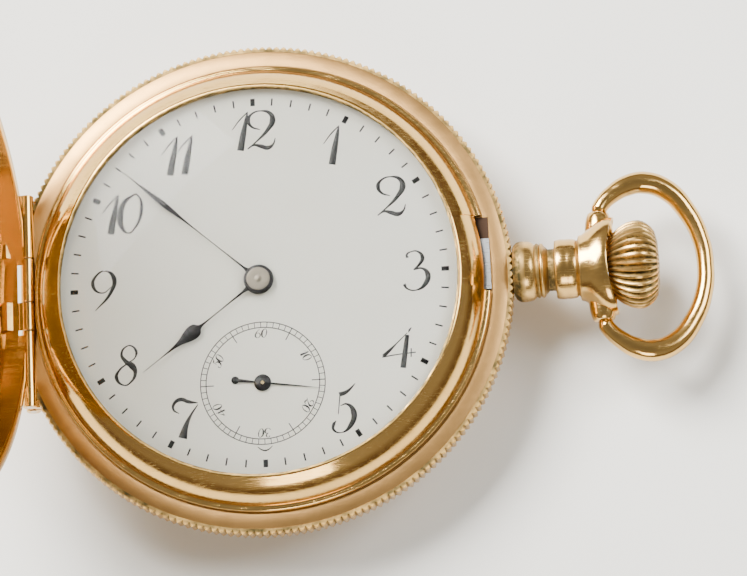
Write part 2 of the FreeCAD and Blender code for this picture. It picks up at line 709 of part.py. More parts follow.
def make_hands():
    length = float(hour_length)
    hour = [(0.13, 0.0), (0.1, 0.42 * length), (0.22, 0.50 * length), (0.5, 0.57 * length),
            (0.36, 0.66 * length), (0.12, 0.76 * length), (0.05, 0.86 * length), (0.02, length)]
    hand("hour_hand", hour, 1.05, 0.8, hour_height, HOUR_TURN)
    length = float(minute_length)
    minute = [(0.1, 0.0), (0.065, 0.52 * length), (0.19, 0.69 * length), (0.08, 0.88 * length), (0.02, length)]
    hand("minute_hand", minute, 1.0, 0.5, minute_height, MINUTE_TURN)
    length = float(seconds_length)
    seconds = [(0.1, -1.75), (0.06, -1.0), (0.08, 0), (0.05, 0.7 * length), (0.02, length)]
    item = hand("seconds_hand", seconds, 0.5, 0, seconds_height, SECONDS_TURN, (0, -seconds_place))
    tail = tube(0.27, 0, 0, hand_wall, (0, -1.9))
    shape = item.Shape.copy()
    shape.Placement = FreeCAD.Placement()
    shape = shape.fuse(tail).cut(tube(staff_radius, 0, -1, 1))
    place = item.Placement
    item.Shape = shape
    item.Placement = place


# The train: places of the wheel axes on the plate
third_at = (2.74, -4.23)
fourth_at = (0.0, -7.25)
escape_at = (-3.4, -9.06)
pallet_at = (-5.05, -7.15)
balance_at = (-7.43, -3.96)
barrel_at = (3.74, 5.34)
crown_at = (7.9, 0.0)
minute_at = (2.88, 0.0)
shafts = [third_at, fourth_at, escape_at, pallet_at]


def make_plate():
    body = new_body("main_plate", (0, 0, plate_bottom))
    revolve(body, [(0.56, 0), (plate_radius, 0), (plate_radius, plate_wall), (0.56, plate_wall)])
    circle_pad(body, (0, 0), 2.75, plate_wall - 0.7, plate_wall, kind="Pocket")
    circle_pad(body, minute_at, 2.5, plate_wall - 0.7, plate_wall, kind="Pocket")
    pad(body, [(8.6, -1.55), (plate_radius + 1, -1.55), (plate_radius + 1, 1.55), (8.6, 1.55)],
        0, plate_wall, kind="Pocket")
    for spot in shafts + [balance_at]:
        circle_pad(body, spot, jewel_radius, 0, plate_wall, kind="Pocket")
    circle_pad(body, barrel_at, 0.6, 0, plate_wall, kind="Pocket")
    for spot in BRIDGE_FEET:
        circle_pad(body, spot, 0.85, -train_depth, 0)
    circle_pad(body, (COCK_FOOT[0], COCK_FOOT[1]), 1.3, -COCK_DEPTH, 0)


BRIDGE_FEET = [(11.2, 6.8), (-3.6, 11.6), (12.4, -3.6), (6.9, -10.4), (1.2, -12.7)]
COCK_FOOT = (-11.5, 1.4)
COCK_DEPTH = dim(2.45)


def bridge(label, outline, feet, holes, low, high, radius=0.0):
    """A flat bridge over the wheels, bored for its jewels and screws."""
    shape = polygon(outline, low, high)
    shape = shape.common(tube(float(plate_radius) - 0.3, 0, low, high))
    for spot in feet:
        shape = shape.cut(tube(0.36, 0, low, high, spot))
    for spot, bore in holes:
        shape = shape.cut(tube(bore, 0, low, high, spot))
    return feature(label, shape)


def make_bridges():
    low, high = bridge_bottom, bridge_top
    barrel = [(-1.2, 1.6), (-6.2, 9.5), (-6.5, 15), (15, 15), (15, 1.9), (9.0, 1.9), (9.0, -1.6), (14.2, -1.6),
              (14.2, -2.2), (4.6, -2.2), (1.8, -0.9), (1.4, 1.2)]
    shape = polygon(barrel, low, high).common(tube(float(plate_radius) - 0.3, 0, low, high))
    for spot, reach in ((barrel_at, 4.35), (crown_at, 2.95)):
        shape = shape.cut(tube(reach, 0, low, float(high) - 0.3, spot))
    for spot in BRIDGE_FEET[:2]:
        shape = shape.cut(tube(0.36, 0, low, high, spot))
    shape = shape.cut(tube(0.85, 0, low, high, barrel_at)).cut(tube(0.5, 0, low, high, crown_at))
    feature("barrel_bridge", shape)
    train = [(-1.6, 1.1), (-2.4, -1.8), (-1.9, -5.2), (-2.3, -7.6), (-5.0, -8.9), (-6.0, -9.8), (-6.0, -15), (15, -15),
             (15, -2.9), (4.3, -2.9), (1.4, -1.5), (1.0, 0.9)]
    bridge("train_bridge", train, BRIDGE_FEET[2:], [((0, 0), jewel_radius), (third_at, jewel_radius),
           (fourth_at, jewel_radius), (escape_at, jewel_radius)], low, high)
    cock_low = plate_bottom - COCK_DEPTH - bridge_wall
    outline = [(-12.6, 0.4), (-12.6, 2.6), (-10.4, 2.9), (-6.6, -2.2), (-5.6, -3.6), (-6.6, -5.7),
               (-8.4, -5.9), (-9.4, -4.6), (-10.6, 0.1)]
    bridge("balance_cock", outline, [COCK_FOOT], [(balance_at, jewel_radius)],
           cock_low, plate_bottom - COCK_DEPTH)
    low = plate_bottom - 1.65
    pallet = [(-5.6, -6.5), (-4.4, -6.8), (-4.4, -7.7), (-7.2, -10.8), (-8.4, -10.0), (-6.0, -7.6)]
    shape = polygon(pallet, low, low + 0.25).cut(tube(staff_radius + run_gap, 0, low, low + 0.25, pallet_at))
    shape = shape.fuse(tube(0.6, 0, float(low), float(plate_bottom), (-7.5, -10.0)))
    feature("pallet_bridge", shape.removeSplitter())


def spiral(inner, outer, turns, wall, low, high):
    """A flat ribbon wound in half turns, its two faces half a wall each side of the line."""
    halves = int(2 * turns)
    pitch = (outer - inner) / turns
    faces = []
    for side in (-0.5, 0.5):
        run = []
        for k in range(halves):
            way = 1 if k % 2 == 0 else -1
            r0 = inner + pitch * k / 2 + side * wall
            r1 = inner + pitch * (k + 1) / 2 + side * wall
            start, end = V(way * r0, 0, low), V(-way * r1, 0, low)
            middle = V((start.x + end.x) / 2, way * (r0 + r1) / 2, low)
            run.append(Part.Arc(start, middle, end).toShape())
        faces.append(run)
    inside, outside = faces
    edges = inside + [Part.makeLine(inside[-1].lastVertex(True).Point, outside[-1].lastVertex(True).Point)]
    edges += outside[::-1] + [Part.makeLine(outside[0].firstVertex(True).Point,
                                            inside[0].firstVertex(True).Point)]
    wire = Part.Wire(Part.__sortEdges__(edges))
    print("spiral gap", round(pitch - wall, 3))
    return Part.Face(wire).extrude(V(0, 0, high - low))


def mesh_phase(teeth, phase, at, other_teeth, other_at):
    """The phase of the second wheel that puts its gaps at the first wheel's teeth."""
    line = math.atan2(other_at[1] - at[1], other_at[0] - at[0])
    return line + math.pi + math.pi / other_teeth + (line - phase) * teeth / other_teeth


def arbor(low, high, radius=None):
    return tube(radius or staff_radius, 0, low, high)


def make_train():
    """The going train, each wheel with its pinion on one staff."""
    floor = float(plate_bottom)
    deep = float(bridge_top)
    ends = floor + 0.3
    foot = deep - 0.3
    drum = tube(5.2, 1.2, floor - 1.45, floor - 1.25).fuse(tube(5.2, 4.95, floor - 1.25, floor - 0.9))
    barrel_phase = mesh_phase(12, 0.0, (0, 0), 78, barrel_at)
    third_phase = mesh_phase(64, 0.0, (0, 0), 8, third_at)
    fourth_phase = mesh_phase(60, 0.0, third_at, 8, fourth_at)
    escape_phase = mesh_phase(70, 0.0, fourth_at, 7, escape_at)
    rim = wheel_blank(78, 0.145, 4.95, floor - 0.9, floor - 0.6, phase=barrel_phase)
    feature("mainspring_barrel", drum.fuse(rim).removeSplitter(), (barrel_at[0], barrel_at[1], 0),
            FreeCAD.Rotation(V(0, 0, 1), 0))
    feature("barrel_cover", tube(4.9, 1.2, floor - 0.88, floor - 0.7), (barrel_at[0], barrel_at[1], 0))
    core = tube(1.15, 0, floor - 1.6, floor - 0.55).fuse(tube(0.55, 0, float(bridge_bottom) + 0.3, floor + 0.5))
    core = core.fuse(tube(0.8, 0, float(bridge_bottom) + 0.3, floor - 1.6))
    feature("barrel_arbor", core.removeSplitter(), (barrel_at[0], barrel_at[1], 0))
    feature("mainspring", spiral(1.25, 4.75, 6, 0.14, floor - 1.2, floor - 0.92), (barrel_at[0], barrel_at[1], 0))
    center = wheel_blank(64, 0.14, 0, floor - 0.4, floor - 0.15, arms=5)
    center = center.fuse(wheel_blank(12, 0.145, 0, floor - 1.4, floor - 0.4))
    center = center.fuse(arbor(foot, float(plate_top) + 0.1, 0.4))
    feature("center_wheel", center)
    third = wheel_blank(60, 0.12, 0, floor - 1.4, floor - 1.2, arms=5, hub=0.7)
    third = third.fuse(wheel_blank(8, 0.14, 0, floor - 0.55, floor - 0.1, phase=third_phase)).fuse(arbor(foot, ends))
    feature("third_wheel", third, (third_at[0], third_at[1], 0))
    fourth = wheel_blank(70, 0.1, 0, floor - 0.85, floor - 0.65, arms=5, hub=0.7)
    fourth = fourth.fuse(wheel_blank(8, 0.12, 0, floor - 1.45, floor - 1.1, phase=fourth_phase))
    fourth = fourth.fuse(arbor(foot, float(seconds_height) + 0.12))
    feature("fourth_wheel", fourth, (fourth_at[0], fourth_at[1], 0))
    escape = escape_shape(floor - 1.25, floor - 1.0).fuse(wheel_blank(7, 0.1, 0, floor - 0.9, floor - 0.6, phase=escape_phase))
    escape = escape.fuse(arbor(foot, ends))
    feature("escape_wheel", escape, (escape_at[0], escape_at[1], 0))


def escape_shape(low, high):
    """Fifteen hooked teeth on a thin rim with four arms."""
    points = []
    for k in range(15):
        start = 2 * math.pi * k / 15
        for share, radius in ((0.0, 1.75), (0.28, 2.2), (0.42, 2.2), (0.36, 1.75)):
            angle = start + share * 2 * math.pi / 15
            points.append((radius * math.cos(angle), radius * math.sin(angle)))
    blank = polygon(points, low, high)
    ring = tube(1.5, 0.6, low, high)
    for k in range(4):
        bar = Part.makeBox(2.0, 0.26, high - low, V(0, -0.13, low))
        bar.rotate(V(0, 0, 0), V(0, 0, 1), 90 * k + 45)
        ring = ring.cut(bar)
    return blank.cut(ring)


def make_escapement():
    """The lever with its two pallet stones and fork, and the balance with its roller."""
    floor = float(plate_bottom)
    low, high = floor - 1.25, floor - 1.0
    way = math.degrees(math.atan2(balance_at[1] - pallet_at[1], balance_at[0] - pallet_at[0]))
    lever = [(-0.55, -1.75), (0.0, -1.45), (0.35, -0.5), (0.3, -0.16), (2.55, -0.12), (2.75, -0.45), (3.25, -0.4),
             (3.25, -0.22), (2.95, -0.2), (2.95, 0.2), (3.25, 0.22), (3.25, 0.4), (2.75, 0.45), (2.55, 0.12),
             (0.3, 0.16), (0.35, 0.5), (0.0, 1.45), (-0.55, 1.75), (-0.5, 1.2), (-0.3, 0.5), (-0.3, -0.5),
             (-0.5, -1.2)]
    fork = polygon(lever, low, high).fuse(arbor(floor - 1.7, floor + 0.3))
    feature("pallet_fork", fork, (pallet_at[0], pallet_at[1], 0), FreeCAD.Rotation(V(0, 0, 1), way))
    top = floor - 1.7
    rim = tube(4.4, 3.95, top - 0.35, top)
    rim = rim.fuse(Part.makeBox(8.2, 0.5, 0.2, V(-4.1, -0.25, top - 0.2)))
    rim = rim.fuse(tube(0.7, 0.2, top - 0.3, top)).cut(tube(0.2, 0, top - 1, top + 1))
    for k in range(10):
        turn = 2 * math.pi * (k + 0.5) / 10
        head = Part.makeCylinder(0.17, 0.28, V(4.3 * math.cos(turn), 4.3 * math.sin(turn), top - 0.175),
                                 V(math.cos(turn), math.sin(turn), 0))
        rim = rim.fuse(head)
    feature("balance_wheel", rim, (balance_at[0], balance_at[1], 0), FreeCAD.Rotation(V(0, 0, 1), 20))
    staff = tube(0.2, 0, top - 0.35, top + 0.05).fuse(arbor(floor - float(COCK_DEPTH) - 0.3, floor + 0.3))
    roller = tube(0.72, 0, top + 0.02, top + 0.2)
    pin = tube(0.1, 0, top + 0.2, high - 0.02, (0.5, 0))
    staff = staff.fuse(roller).fuse(pin)
    feature("balance_staff", staff, (balance_at[0], balance_at[1], 0),
            FreeCAD.Rotation(V(0, 0, 1), way + 180))
    collet = tube(0.42, 0.2, top - 0.6, top - 0.38)
    spring = spiral(0.45, 2.65, 4, 0.07, top - 0.56, top - 0.42)
    feature("hairspring", spring.fuse(collet), (balance_at[0], balance_at[1], 0))
    stud = tube(0.2, 0, floor - float(COCK_DEPTH) + 0.0, top - 0.4)
    feature("hairspring_stud", stud, (balance_at[0] + 2.85, balance_at[1], 0))
    cock_low = floor - float(COCK_DEPTH) - float(bridge_wall)
    ring = tube(1.0, 0.6, cock_low - 0.15, cock_low)
    tail = Part.makeBox(2.6, 0.3, 0.15, V(0.9, -0.15, cock_low - 0.15))
    feature("regulator", ring.fuse(tail), (balance_at[0], balance_at[1], 0),
            FreeCAD.Rotation(V(0, 0, 1), 215))


def make_keyless():
    """Crown wheel, ratchet wheel, click and its spring, the setting levers and the motion work."""
    low, high = float(bridge_bottom) + 0.0, float(bridge_bottom) + 0.28
    ratchet_phase = mesh_phase(33, 0.0, crown_at, 52, barrel_at)
    ratchet = wheel_blank(52, 0.16, 0.45, low, high, phase=ratchet_phase).cut(tube(0.3, 0, low, high))
    feature("ratchet_wheel", ratchet, (barrel_at[0], barrel_at[1], 0))
    feature("crown_wheel", wheel_blank(33, 0.16, 0.4, low, high), (crown_at[0], crown_at[1], 0),
            FreeCAD.Rotation(V(0, 0, 1), 0))
    feature("ratchet_screw", screw(0.9, 0.25, 0.25, 0.29, low), (barrel_at[0], barrel_at[1], 0))
    feature("crown_wheel_screw", screw(0.9, 0.25, 0.35, 0.8, low), (crown_at[0], crown_at[1], 0))
    at = (barrel_at[0] - 5.6, barrel_at[1] + 2.2)
    click = polygon([(-0.5, -0.5), (0.5, -0.45), (1.3, -0.65), (1.15, -0.2), (0.5, 0.5), (-0.5, 0.5)],
                    float(bridge_bottom) - 0.28, float(bridge_bottom) - 0.02)
    click = click.cut(tube(0.22, 0, 0, 9))
    feature("click", click, (at[0], at[1], 0))
    base = float(bridge_bottom)
    wire = arc_strip(1.2, 1.32, 100, 260, base - 0.2, base - 0.02)
    feature("click_spring", wire, (at[0] - 0.2, at[1] + 0.1, 0))
    feature("click_screw", screw(0.35, 0.15, 0.2, 0.29, base - 0.3), (at[0], at[1], 0))
    top = float(plate_top)
    cannon = wheel_blank(12, 0.12, 0.42, top - 0.65, top - 0.4)
    cannon = cannon.fuse(tube(0.5, 0.42, top - 0.4, float(minute_height) + 0.1))
    feature("cannon_pinion", cannon.cut(tube(0.42, 0, top - 0.7, top + 3)))
    hour_phase = mesh_phase(10, 0.0, minute_at, 40, (0, 0))
    hour = wheel_blank(40, 0.1152, 0.54, top - 0.32, top - 0.12, phase=hour_phase).fuse(
        tube(0.78, 0.54, top - 0.12, float(hour_height) + 0.1))
    feature("hour_wheel", hour)
    minute = wheel_blank(36, 0.12, 0, top - 0.62, top - 0.44,
                         phase=mesh_phase(12, 0.0, (0, 0), 36, minute_at)).fuse(
        wheel_blank(10, 0.1152, 0, top - 0.44, top - 0.1)).cut(tube(0.2, 0, top - 1, top + 1))
    feature("minute_wheel", minute, (minute_at[0], minute_at[1], 0))
    post = tube(0.17, 0, top - 0.7, top - 0.08)
    feature("minute_wheel_post", post, (minute_at[0], minute_at[1], 0))
    floor = float(plate_bottom)
    lever = polygon([(10.9, 2.0), (12.9, 1.4), (12.9, 1.9), (11.4, 3.0), (10.6, 2.8)], floor - 0.25, floor)
    feature("setting_lever", lever)
    lever = polygon([(7.2, -4.4), (12.3, -1.55), (12.0, -1.2), (6.9, -4.0)], floor - 0.5, floor - 0.25)
    feature("clutch_lever", lever.fuse(tube(0.35, 0, floor - 0.5, floor, (7.2, -4.1))))


def screw(head, head_height, shank, length, low):
    """A slotted screw, head downwards, as a bare shape."""
    shape = tube(head, 0, low - head_height, low).fuse(tube(shank, 0, low, low + length))
    slot = Part.makeBox(2.2 * head, 0.14, 0.1, V(-1.1 * head, -0.07, low - head_height))
    return shape.cut(slot).removeSplitter()


def group(label, shapes):
    """Like fasteners or stones, as separate solids in one piece."""
    return feature(label, Part.makeCompound(shapes))


def moved(shape, x, y, z=0.0):
    """A copy of a bare shape at another place."""
    copy = shape.copy()
    copy.translate(V(x, y, z))
    return copy


def make_fasteners():
    base = float(bridge_bottom)
    screws = [moved(screw(0.6, 0.2, 0.33, 0.58, base), x, y) for x, y in BRIDGE_FEET]
    group("bridge_screws", screws)
    low = float(plate_bottom) - float(COCK_DEPTH) - float(bridge_wall)
    feature("cock_screw", screw(0.7, 0.25, 0.33, 0.58, low), (COCK_FOOT[0], COCK_FOOT[1], 0))
    floor = float(plate_bottom)
    stones = []
    bore = float(staff_radius + run_gap)
    for spot in shafts + [balance_at]:
        stones.append(moved(tube(jewel_radius, bore, floor, floor + float(jewel_wall)), spot[0], spot[1]))
    group("plate_jewels", stones)
    top = float(bridge_top)
    stones = [moved(tube(jewel_radius, bore, top - float(jewel_wall), top), x, y)
              for x, y in (third_at, fourth_at, escape_at)]
    low = floor - float(COCK_DEPTH)
    stones.append(moved(tube(jewel_radius, bore, low - float(jewel_wall), low), balance_at[0], balance_at[1]))
    group("bridge_jewels", stones)
    feature("center_jewel", tube(jewel_radius, 0.42, top - float(jewel_wall), top))
    top = float(plate_top)
    screws = []
    for angle in (75, 200):
        spot = (13.9 * math.cos(math.radians(angle)), 13.9 * math.sin(math.radians(angle)))
        head = tube(0.65, 0, float(band_bottom) + 0.55, float(band_bottom) + 0.85)
        screws.append(moved(head.fuse(tube(0.25, 0, float(band_bottom) + 0.85, floor)), spot[0], spot[1]))
    group("case_screws", screws)
    spring_screws = [Part.makeCylinder(0.32, 0.3, V(math.cos(a) * (float(band_bore) - 0.6),
                                                    math.sin(a) * (float(band_bore) - 0.6),
                                                    float(flange_top) - 0.75),
                                       V(math.cos(a), math.sin(a), 0))
                     for a in (math.radians(150), math.radians(112))]
    group("case_spring_screws", spring_screws)


def check_and_write():
    """Refuse a failed or open piece, then write one file for each."""
    doc.recompute()
    for item in doc.Objects:
        if "Invalid" in item.State or "Error" in item.State:
            raise RuntimeError(f"{item.Name} failed: {item.State}")
    os.makedirs("parts", exist_ok=True)
    pieces = [item for item in doc.Objects if is_piece(item)]
    facets = 0
    for item in pieces:
        shape = item.Shape
        if shape.isNull() or not shape.isValid() or not shape.Solids:
            raise RuntimeError(f"{item.Label} has no sound shape")
        count = len(shape.copy().tessellate(0.01)[1])
        facets += count
        print(item.Label, len(shape.Solids), round(shape.Volume, 3), count)
        shape.exportStep(os.path.join("parts", item.Label + ".step"))
    print(len(pieces), "pieces", facets, "facets")


def is_piece(item):
    """A finished piece is a body, or a shape that nothing else uses."""
    if item.TypeId == "PartDesign::Body":
        return item.Label != "pendant_blank"
    return item.TypeId in ("Part::Feature", "Part::Cylinder") and not item.InList


make_band()
cover = feature("front_cover", make_front_cover())
cover.Placement = front_hinge_turn()
make_back_cover()
make_inner_cover()
make_hinge_pins()
make_bezel()
make_crystal()
feature("pendant", finish_pendant())
make_bow()
make_crown()
make_stem()
make_winding_pinions()
make_case_springs()
make_dial()
make_hands()
make_plate()
make_bridges()
make_train()
make_escapement()
make_keyless()
make_fasteners()
check_and_write()
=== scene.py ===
import math

import bpy
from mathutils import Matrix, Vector


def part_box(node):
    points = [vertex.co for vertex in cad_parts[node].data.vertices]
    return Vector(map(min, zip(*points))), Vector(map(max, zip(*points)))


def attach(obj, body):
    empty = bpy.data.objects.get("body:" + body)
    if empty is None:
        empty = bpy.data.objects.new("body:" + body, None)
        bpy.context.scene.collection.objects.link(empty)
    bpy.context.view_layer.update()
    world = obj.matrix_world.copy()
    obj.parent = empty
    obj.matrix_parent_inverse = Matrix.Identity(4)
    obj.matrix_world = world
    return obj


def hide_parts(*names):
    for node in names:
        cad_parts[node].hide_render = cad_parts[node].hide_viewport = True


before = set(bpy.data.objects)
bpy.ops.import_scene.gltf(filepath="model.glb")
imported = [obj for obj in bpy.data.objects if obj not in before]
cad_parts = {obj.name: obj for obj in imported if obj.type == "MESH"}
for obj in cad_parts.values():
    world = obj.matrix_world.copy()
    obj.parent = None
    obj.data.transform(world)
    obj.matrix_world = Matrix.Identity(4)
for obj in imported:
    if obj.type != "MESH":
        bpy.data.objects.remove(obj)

bl_info = {
    "name": "Hunter Pocket Watch",
    "version": (1, 0, 0),
    "blender": (4, 5, 0),
    "location": "View3D > Sidebar > Watch",
    "description": "Dresses the hunter pocket watch: case, dial, hands, crown and bow",
    "category": "Object",
}

MM = 0.001
AXIS_X, AXIS_Z = Vector((1, 0, 0)), Vector((0, 0, 1))
ORIGIN = (0, 0, 0)
FULL_TURN = 2 * math.pi
WELD = 0.004 * MM


def low(node):
    """A node's lowest corner in millimetres."""
    return [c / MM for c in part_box(node)[0]]


def high(node):
    """A node's highest corner in millimetres."""
    return [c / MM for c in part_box(node)[1]]


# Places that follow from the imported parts, in millimetres
HINGE_X = -16.4
HINGE_RADIUS = 0.5
SEAT_GAP = 0.05
DIAL_TOP = high("dial")[2]
PRINT_TOP = DIAL_TOP + 0.015
PEN_HEIGHT = DIAL_TOP + 0.006
BEZEL_LOW = low("bezel")[2]
FLANGE_TOP = BEZEL_LOW - SEAT_GAP
BAND_BOTTOM = high("back_cover")[2] - HINGE_RADIUS
BAND_RADIUS = 17.5
STEM_HEIGHT = (low("crown")[2] + high("crown")[2]) / 2
CROWN_END = high("crown")[0]
CROWN_START = CROWN_END - 3.55
SECONDS_PLACE = (0.0, -7.25)

# Hinge tubes along Y, from and to
BAND_KNUCKLES = {"front": ((-7.6, -2.2), (-0.1, 3.0)), "back": ((-7.6, -4.0), (-0.6, 3.0))}
COVER_KNUCKLES = {"front": ((-2.15, -0.15), (3.05, 7.6)), "back": ((-3.95, -0.65), (3.05, 7.6))}
LID_ANGLE = math.radians(101)


class WatchSizes(bpy.types.PropertyGroup):
    """Sizes of what is printed, cut and polished on the watch, in millimetres."""

    minute_ring: bpy.props.FloatProperty(
        name="Minute ring", description="Middle radius of the minute marks", default=12.87)
    figure_ring: bpy.props.FloatProperty(
        name="Figure ring", description="Radius on which the hour figures stand", default=10.82)
    figure_height: bpy.props.FloatProperty(
        name="Figure height", description="Height of an hour figure", default=2.8)
    seconds_ring: bpy.props.FloatProperty(
        name="Seconds ring", description="Outer radius of the seconds track", default=4.29)
    bezel_lip: bpy.props.FloatProperty(
        name="Bezel lip", description="Radius of the bezel's inner lip", default=13.73)
    bezel_edge: bpy.props.FloatProperty(
        name="Bezel edge", description="Outer radius of the bezel", default=15.95)
    reeds: bpy.props.IntProperty(
        name="Reeds", description="Number of reeds on the coined edge", default=215)
    flutes: bpy.props.IntProperty(
        name="Flutes", description="Number of flutes on the crown", default=34)


class WatchColours(bpy.types.PropertyGroup):
    """Base colours of the finishes."""

    gold: bpy.props.FloatVectorProperty(
        name="Polished gold", description="Colour of the polished gold plate",
        subtype="COLOR", size=3, default=(0.78, 0.49, 0.16))
    satin: bpy.props.FloatVectorProperty(
        name="Satin gold", description="Colour of the brushed seat under the lid",
        subtype="COLOR", size=3, default=(0.54, 0.29, 0.10))
    tarnish: bpy.props.FloatVectorProperty(
        name="Tarnish", description="Colour of the dirt in grooves",
        subtype="COLOR", size=3, default=(0.05, 0.045, 0.02))
    enamel: bpy.props.FloatVectorProperty(
        name="Enamel", description="Colour of the dial",
        subtype="COLOR", size=3, default=(0.95, 0.93, 0.85))
    ink: bpy.props.FloatVectorProperty(
        name="Ink", description="Colour of the dial's print",
        subtype="COLOR", size=3, default=(0.012, 0.011, 0.012))
    floor: bpy.props.FloatVectorProperty(
        name="Floor", description="Colour of the table",
        subtype="COLOR", size=3, default=(0.80, 0.79, 0.75))


def sizes():
    return bpy.context.scene.watch_sizes


def colours():
    return bpy.context.scene.watch_colours


# Node helpers

def link(tree, source, target):
    tree.links.new(source, target)


def ramp(tree, factor, stops):
    """A colour ramp fed by factor, from (place, colour or grey) stops."""
    item = tree.nodes.new("ShaderNodeValToRGB")
    elements = item.color_ramp.elements
    while len(elements) < len(stops):
        elements.new(0.5)
    for element, (place, tone) in zip(elements, stops):
        element.position = place
        colour = tone if isinstance(tone, (tuple, list)) else (tone, tone, tone)
        element.color = (*colour[:3], 1)
    link(tree, factor, item.inputs["Fac"])
    return item.outputs["Color"]


def feed(tree, item, place, value):
    """Give an input a plain value, or link a socket to it."""
    if isinstance(value, bpy.types.NodeSocket):
        link(tree, value, item.inputs[place])
    else:
        item.inputs[place].default_value = value


def mix(tree, factor, first, second):
    """Mix two colours; each argument is a socket or a plain value."""
    item = tree.nodes.new("ShaderNodeMix")
    item.data_type = "RGBA"
    feed(tree, item, 0, factor)
    for place, value in ((6, first), (7, second)):
        plain = not isinstance(value, bpy.types.NodeSocket)
        feed(tree, item, place, (*value[:3], 1) if plain else value)
    return item.outputs[2]


def mix_value(tree, factor, first, second):
    """Mix two numbers."""
    item = tree.nodes.new("ShaderNodeMix")
    for place, value in ((0, factor), (2, first), (3, second)):
        feed(tree, item, place, value)
    return item.outputs[0]


def maths(tree, operation, first, second=0.0, clamp=False):
    """One step of arithmetic on sockets or numbers."""
    item = tree.nodes.new("ShaderNodeMath")
    item.operation = operation
    item.use_clamp = clamp
    feed(tree, item, 0, first)
    feed(tree, item, 1, second)
    return item.outputs[0]


def object_place(tree, scale=(1.0, 1.0, 1.0)):
    """Object coordinates in millimetres, stretched."""
    where = tree.nodes.new("ShaderNodeTexCoord")
    mapping = tree.nodes.new("ShaderNodeMapping")
    mapping.inputs["Scale"].default_value = [1000 * s for s in scale]
    link(tree, where.outputs["Object"], mapping.inputs["Vector"])
    return mapping.outputs["Vector"]


def noise(tree, vector, scale, detail=4.0, roughness=0.55, distortion=0.0):
    item = tree.nodes.new("ShaderNodeTexNoise")
    item.inputs["Scale"].default_value = scale
    item.inputs["Detail"].default_value = detail
    item.inputs["Roughness"].default_value = roughness
    item.inputs["Distortion"].default_value = distortion
    link(tree, vector, item.inputs["Vector"])
    return item.outputs["Fac"]


def group_frame(name, inputs, outputs):
    """An empty node group with its sockets, and its input and output nodes."""
    tree = bpy.data.node_groups.new(name, "ShaderNodeTree")
    for label, kind, value in inputs:
        socket = tree.interface.new_socket(label, in_out="INPUT", socket_type=kind)
        if value is not None:
            socket.default_value = value
    for label, kind in outputs:
        tree.interface.new_socket(label, in_out="OUTPUT", socket_type=kind)
    return tree, tree.nodes.new("NodeGroupInput"), tree.nodes.new("NodeGroupOutput")


def hairline_group():
    """Fine crossing scratches and soft stains on metal that has been handled for years."""
    name = "hairlines"
    if name in bpy.data.node_groups:
        return bpy.data.node_groups[name]
    tree, source, result = group_frame(
        name,
        [("Vector", "NodeSocketVector", None), ("Amount", "NodeSocketFloat", 0.5)],
        [("Scratches", "NodeSocketFloat"), ("Stain", "NodeSocketFloat")])
    layers = []
    for turn, stretch in ((0.4, 14.0), (-0.7, 18.0), (1.5, 11.0)):
        mapping = tree.nodes.new("ShaderNodeMapping")
        mapping.inputs["Rotation"].default_value = (0.3 * turn, 0.2, turn)
        mapping.inputs["Scale"].default_value = (0.25, stretch, 3.0)
        link(tree, source.outputs["Vector"], mapping.inputs["Vector"])
        lines = noise(tree, mapping.outputs["Vector"], 1.0, 3.0, 0.6)
        layers.append(ramp(tree, lines, [(0.60, 0.0), (0.66, 1.0), (0.70, 0.0)]))
    total = maths(tree, "MAXIMUM", maths(tree, "MAXIMUM", layers[0], layers[1]), layers[2])
    link(tree, maths(tree, "MULTIPLY", total, source.outputs["Amount"]), result.inputs["Scratches"])
    stain = noise(tree, source.outputs["Vector"], 0.35, 5.0, 0.65, 0.6)
    link(tree, ramp(tree, stain, [(0.35, 0.0), (0.7, 1.0)]), result.inputs["Stain"])
    return tree


def new_material(name):
    """An empty node material with its Principled shader."""
    material = bpy.data.materials.new("watch_" + name)
    material.use_nodes = True
    tree = material.node_tree
    shader = tree.nodes["Principled BSDF"]
    return material, tree, shader


def finish(name):
    """A finish made earlier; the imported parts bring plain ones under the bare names."""
    return bpy.data.materials["watch_" + name]


def add_bump(tree, shader, height, strength):
    """Let a finish catch the light on its scratches."""
    bump = tree.nodes.new("ShaderNodeBump")
    bump.inputs["Strength"].default_value = strength
    bump.inputs["Distance"].default_value = 0.01 * MM
    link(tree, height, bump.inputs["Height"])
    link(tree, bump.outputs["Normal"], shader.inputs["Normal"])


def hairlines(tree, amount):
    """The scratches and the stain of the hairline group."""
    item = tree.nodes.new("ShaderNodeGroup")
    item.node_tree = hairline_group()
    item.inputs["Amount"].default_value = amount
    link(tree, object_place(tree), item.inputs["Vector"])
    return item.outputs["Scratches"], item.outputs["Stain"]


def gold_material(name, colour, rough, scratch=0.5, tarnish=0.0, mask=None):
    """Gold plate: handled, softly stained, with dirt where mask says."""
    material, tree, shader = new_material(name)
    scratches, stain = hairlines(tree, scratch)
    warm = tuple(c * f for c, f in zip(colour, (0.93, 0.84, 0.72)))
    base = mix(tree, maths(tree, "MULTIPLY", stain, 0.55), colour, warm)
    roughness = maths(tree, "ADD", maths(tree, "MULTIPLY", stain, 0.10), rough)
    roughness = maths(tree, "ADD", maths(tree, "MULTIPLY", scratches, 0.22), roughness, True)
    if mask:
        dirt = mask(tree)
        base = mix(tree, maths(tree, "MULTIPLY", dirt, tarnish), base, colours().tarnish)
        roughness = mix_value(tree, maths(tree, "MULTIPLY", dirt, tarnish), roughness, 0.75)
    link(tree, base, shader.inputs["Base Color"])
    link(tree, roughness, shader.inputs["Roughness"])
    shader.inputs["Metallic"].default_value = 1.0
    add_bump(tree, shader, scratches, 0.12)
    return material


# Mesh helpers: pieces are drawn as by hand, with the operators of edit mode

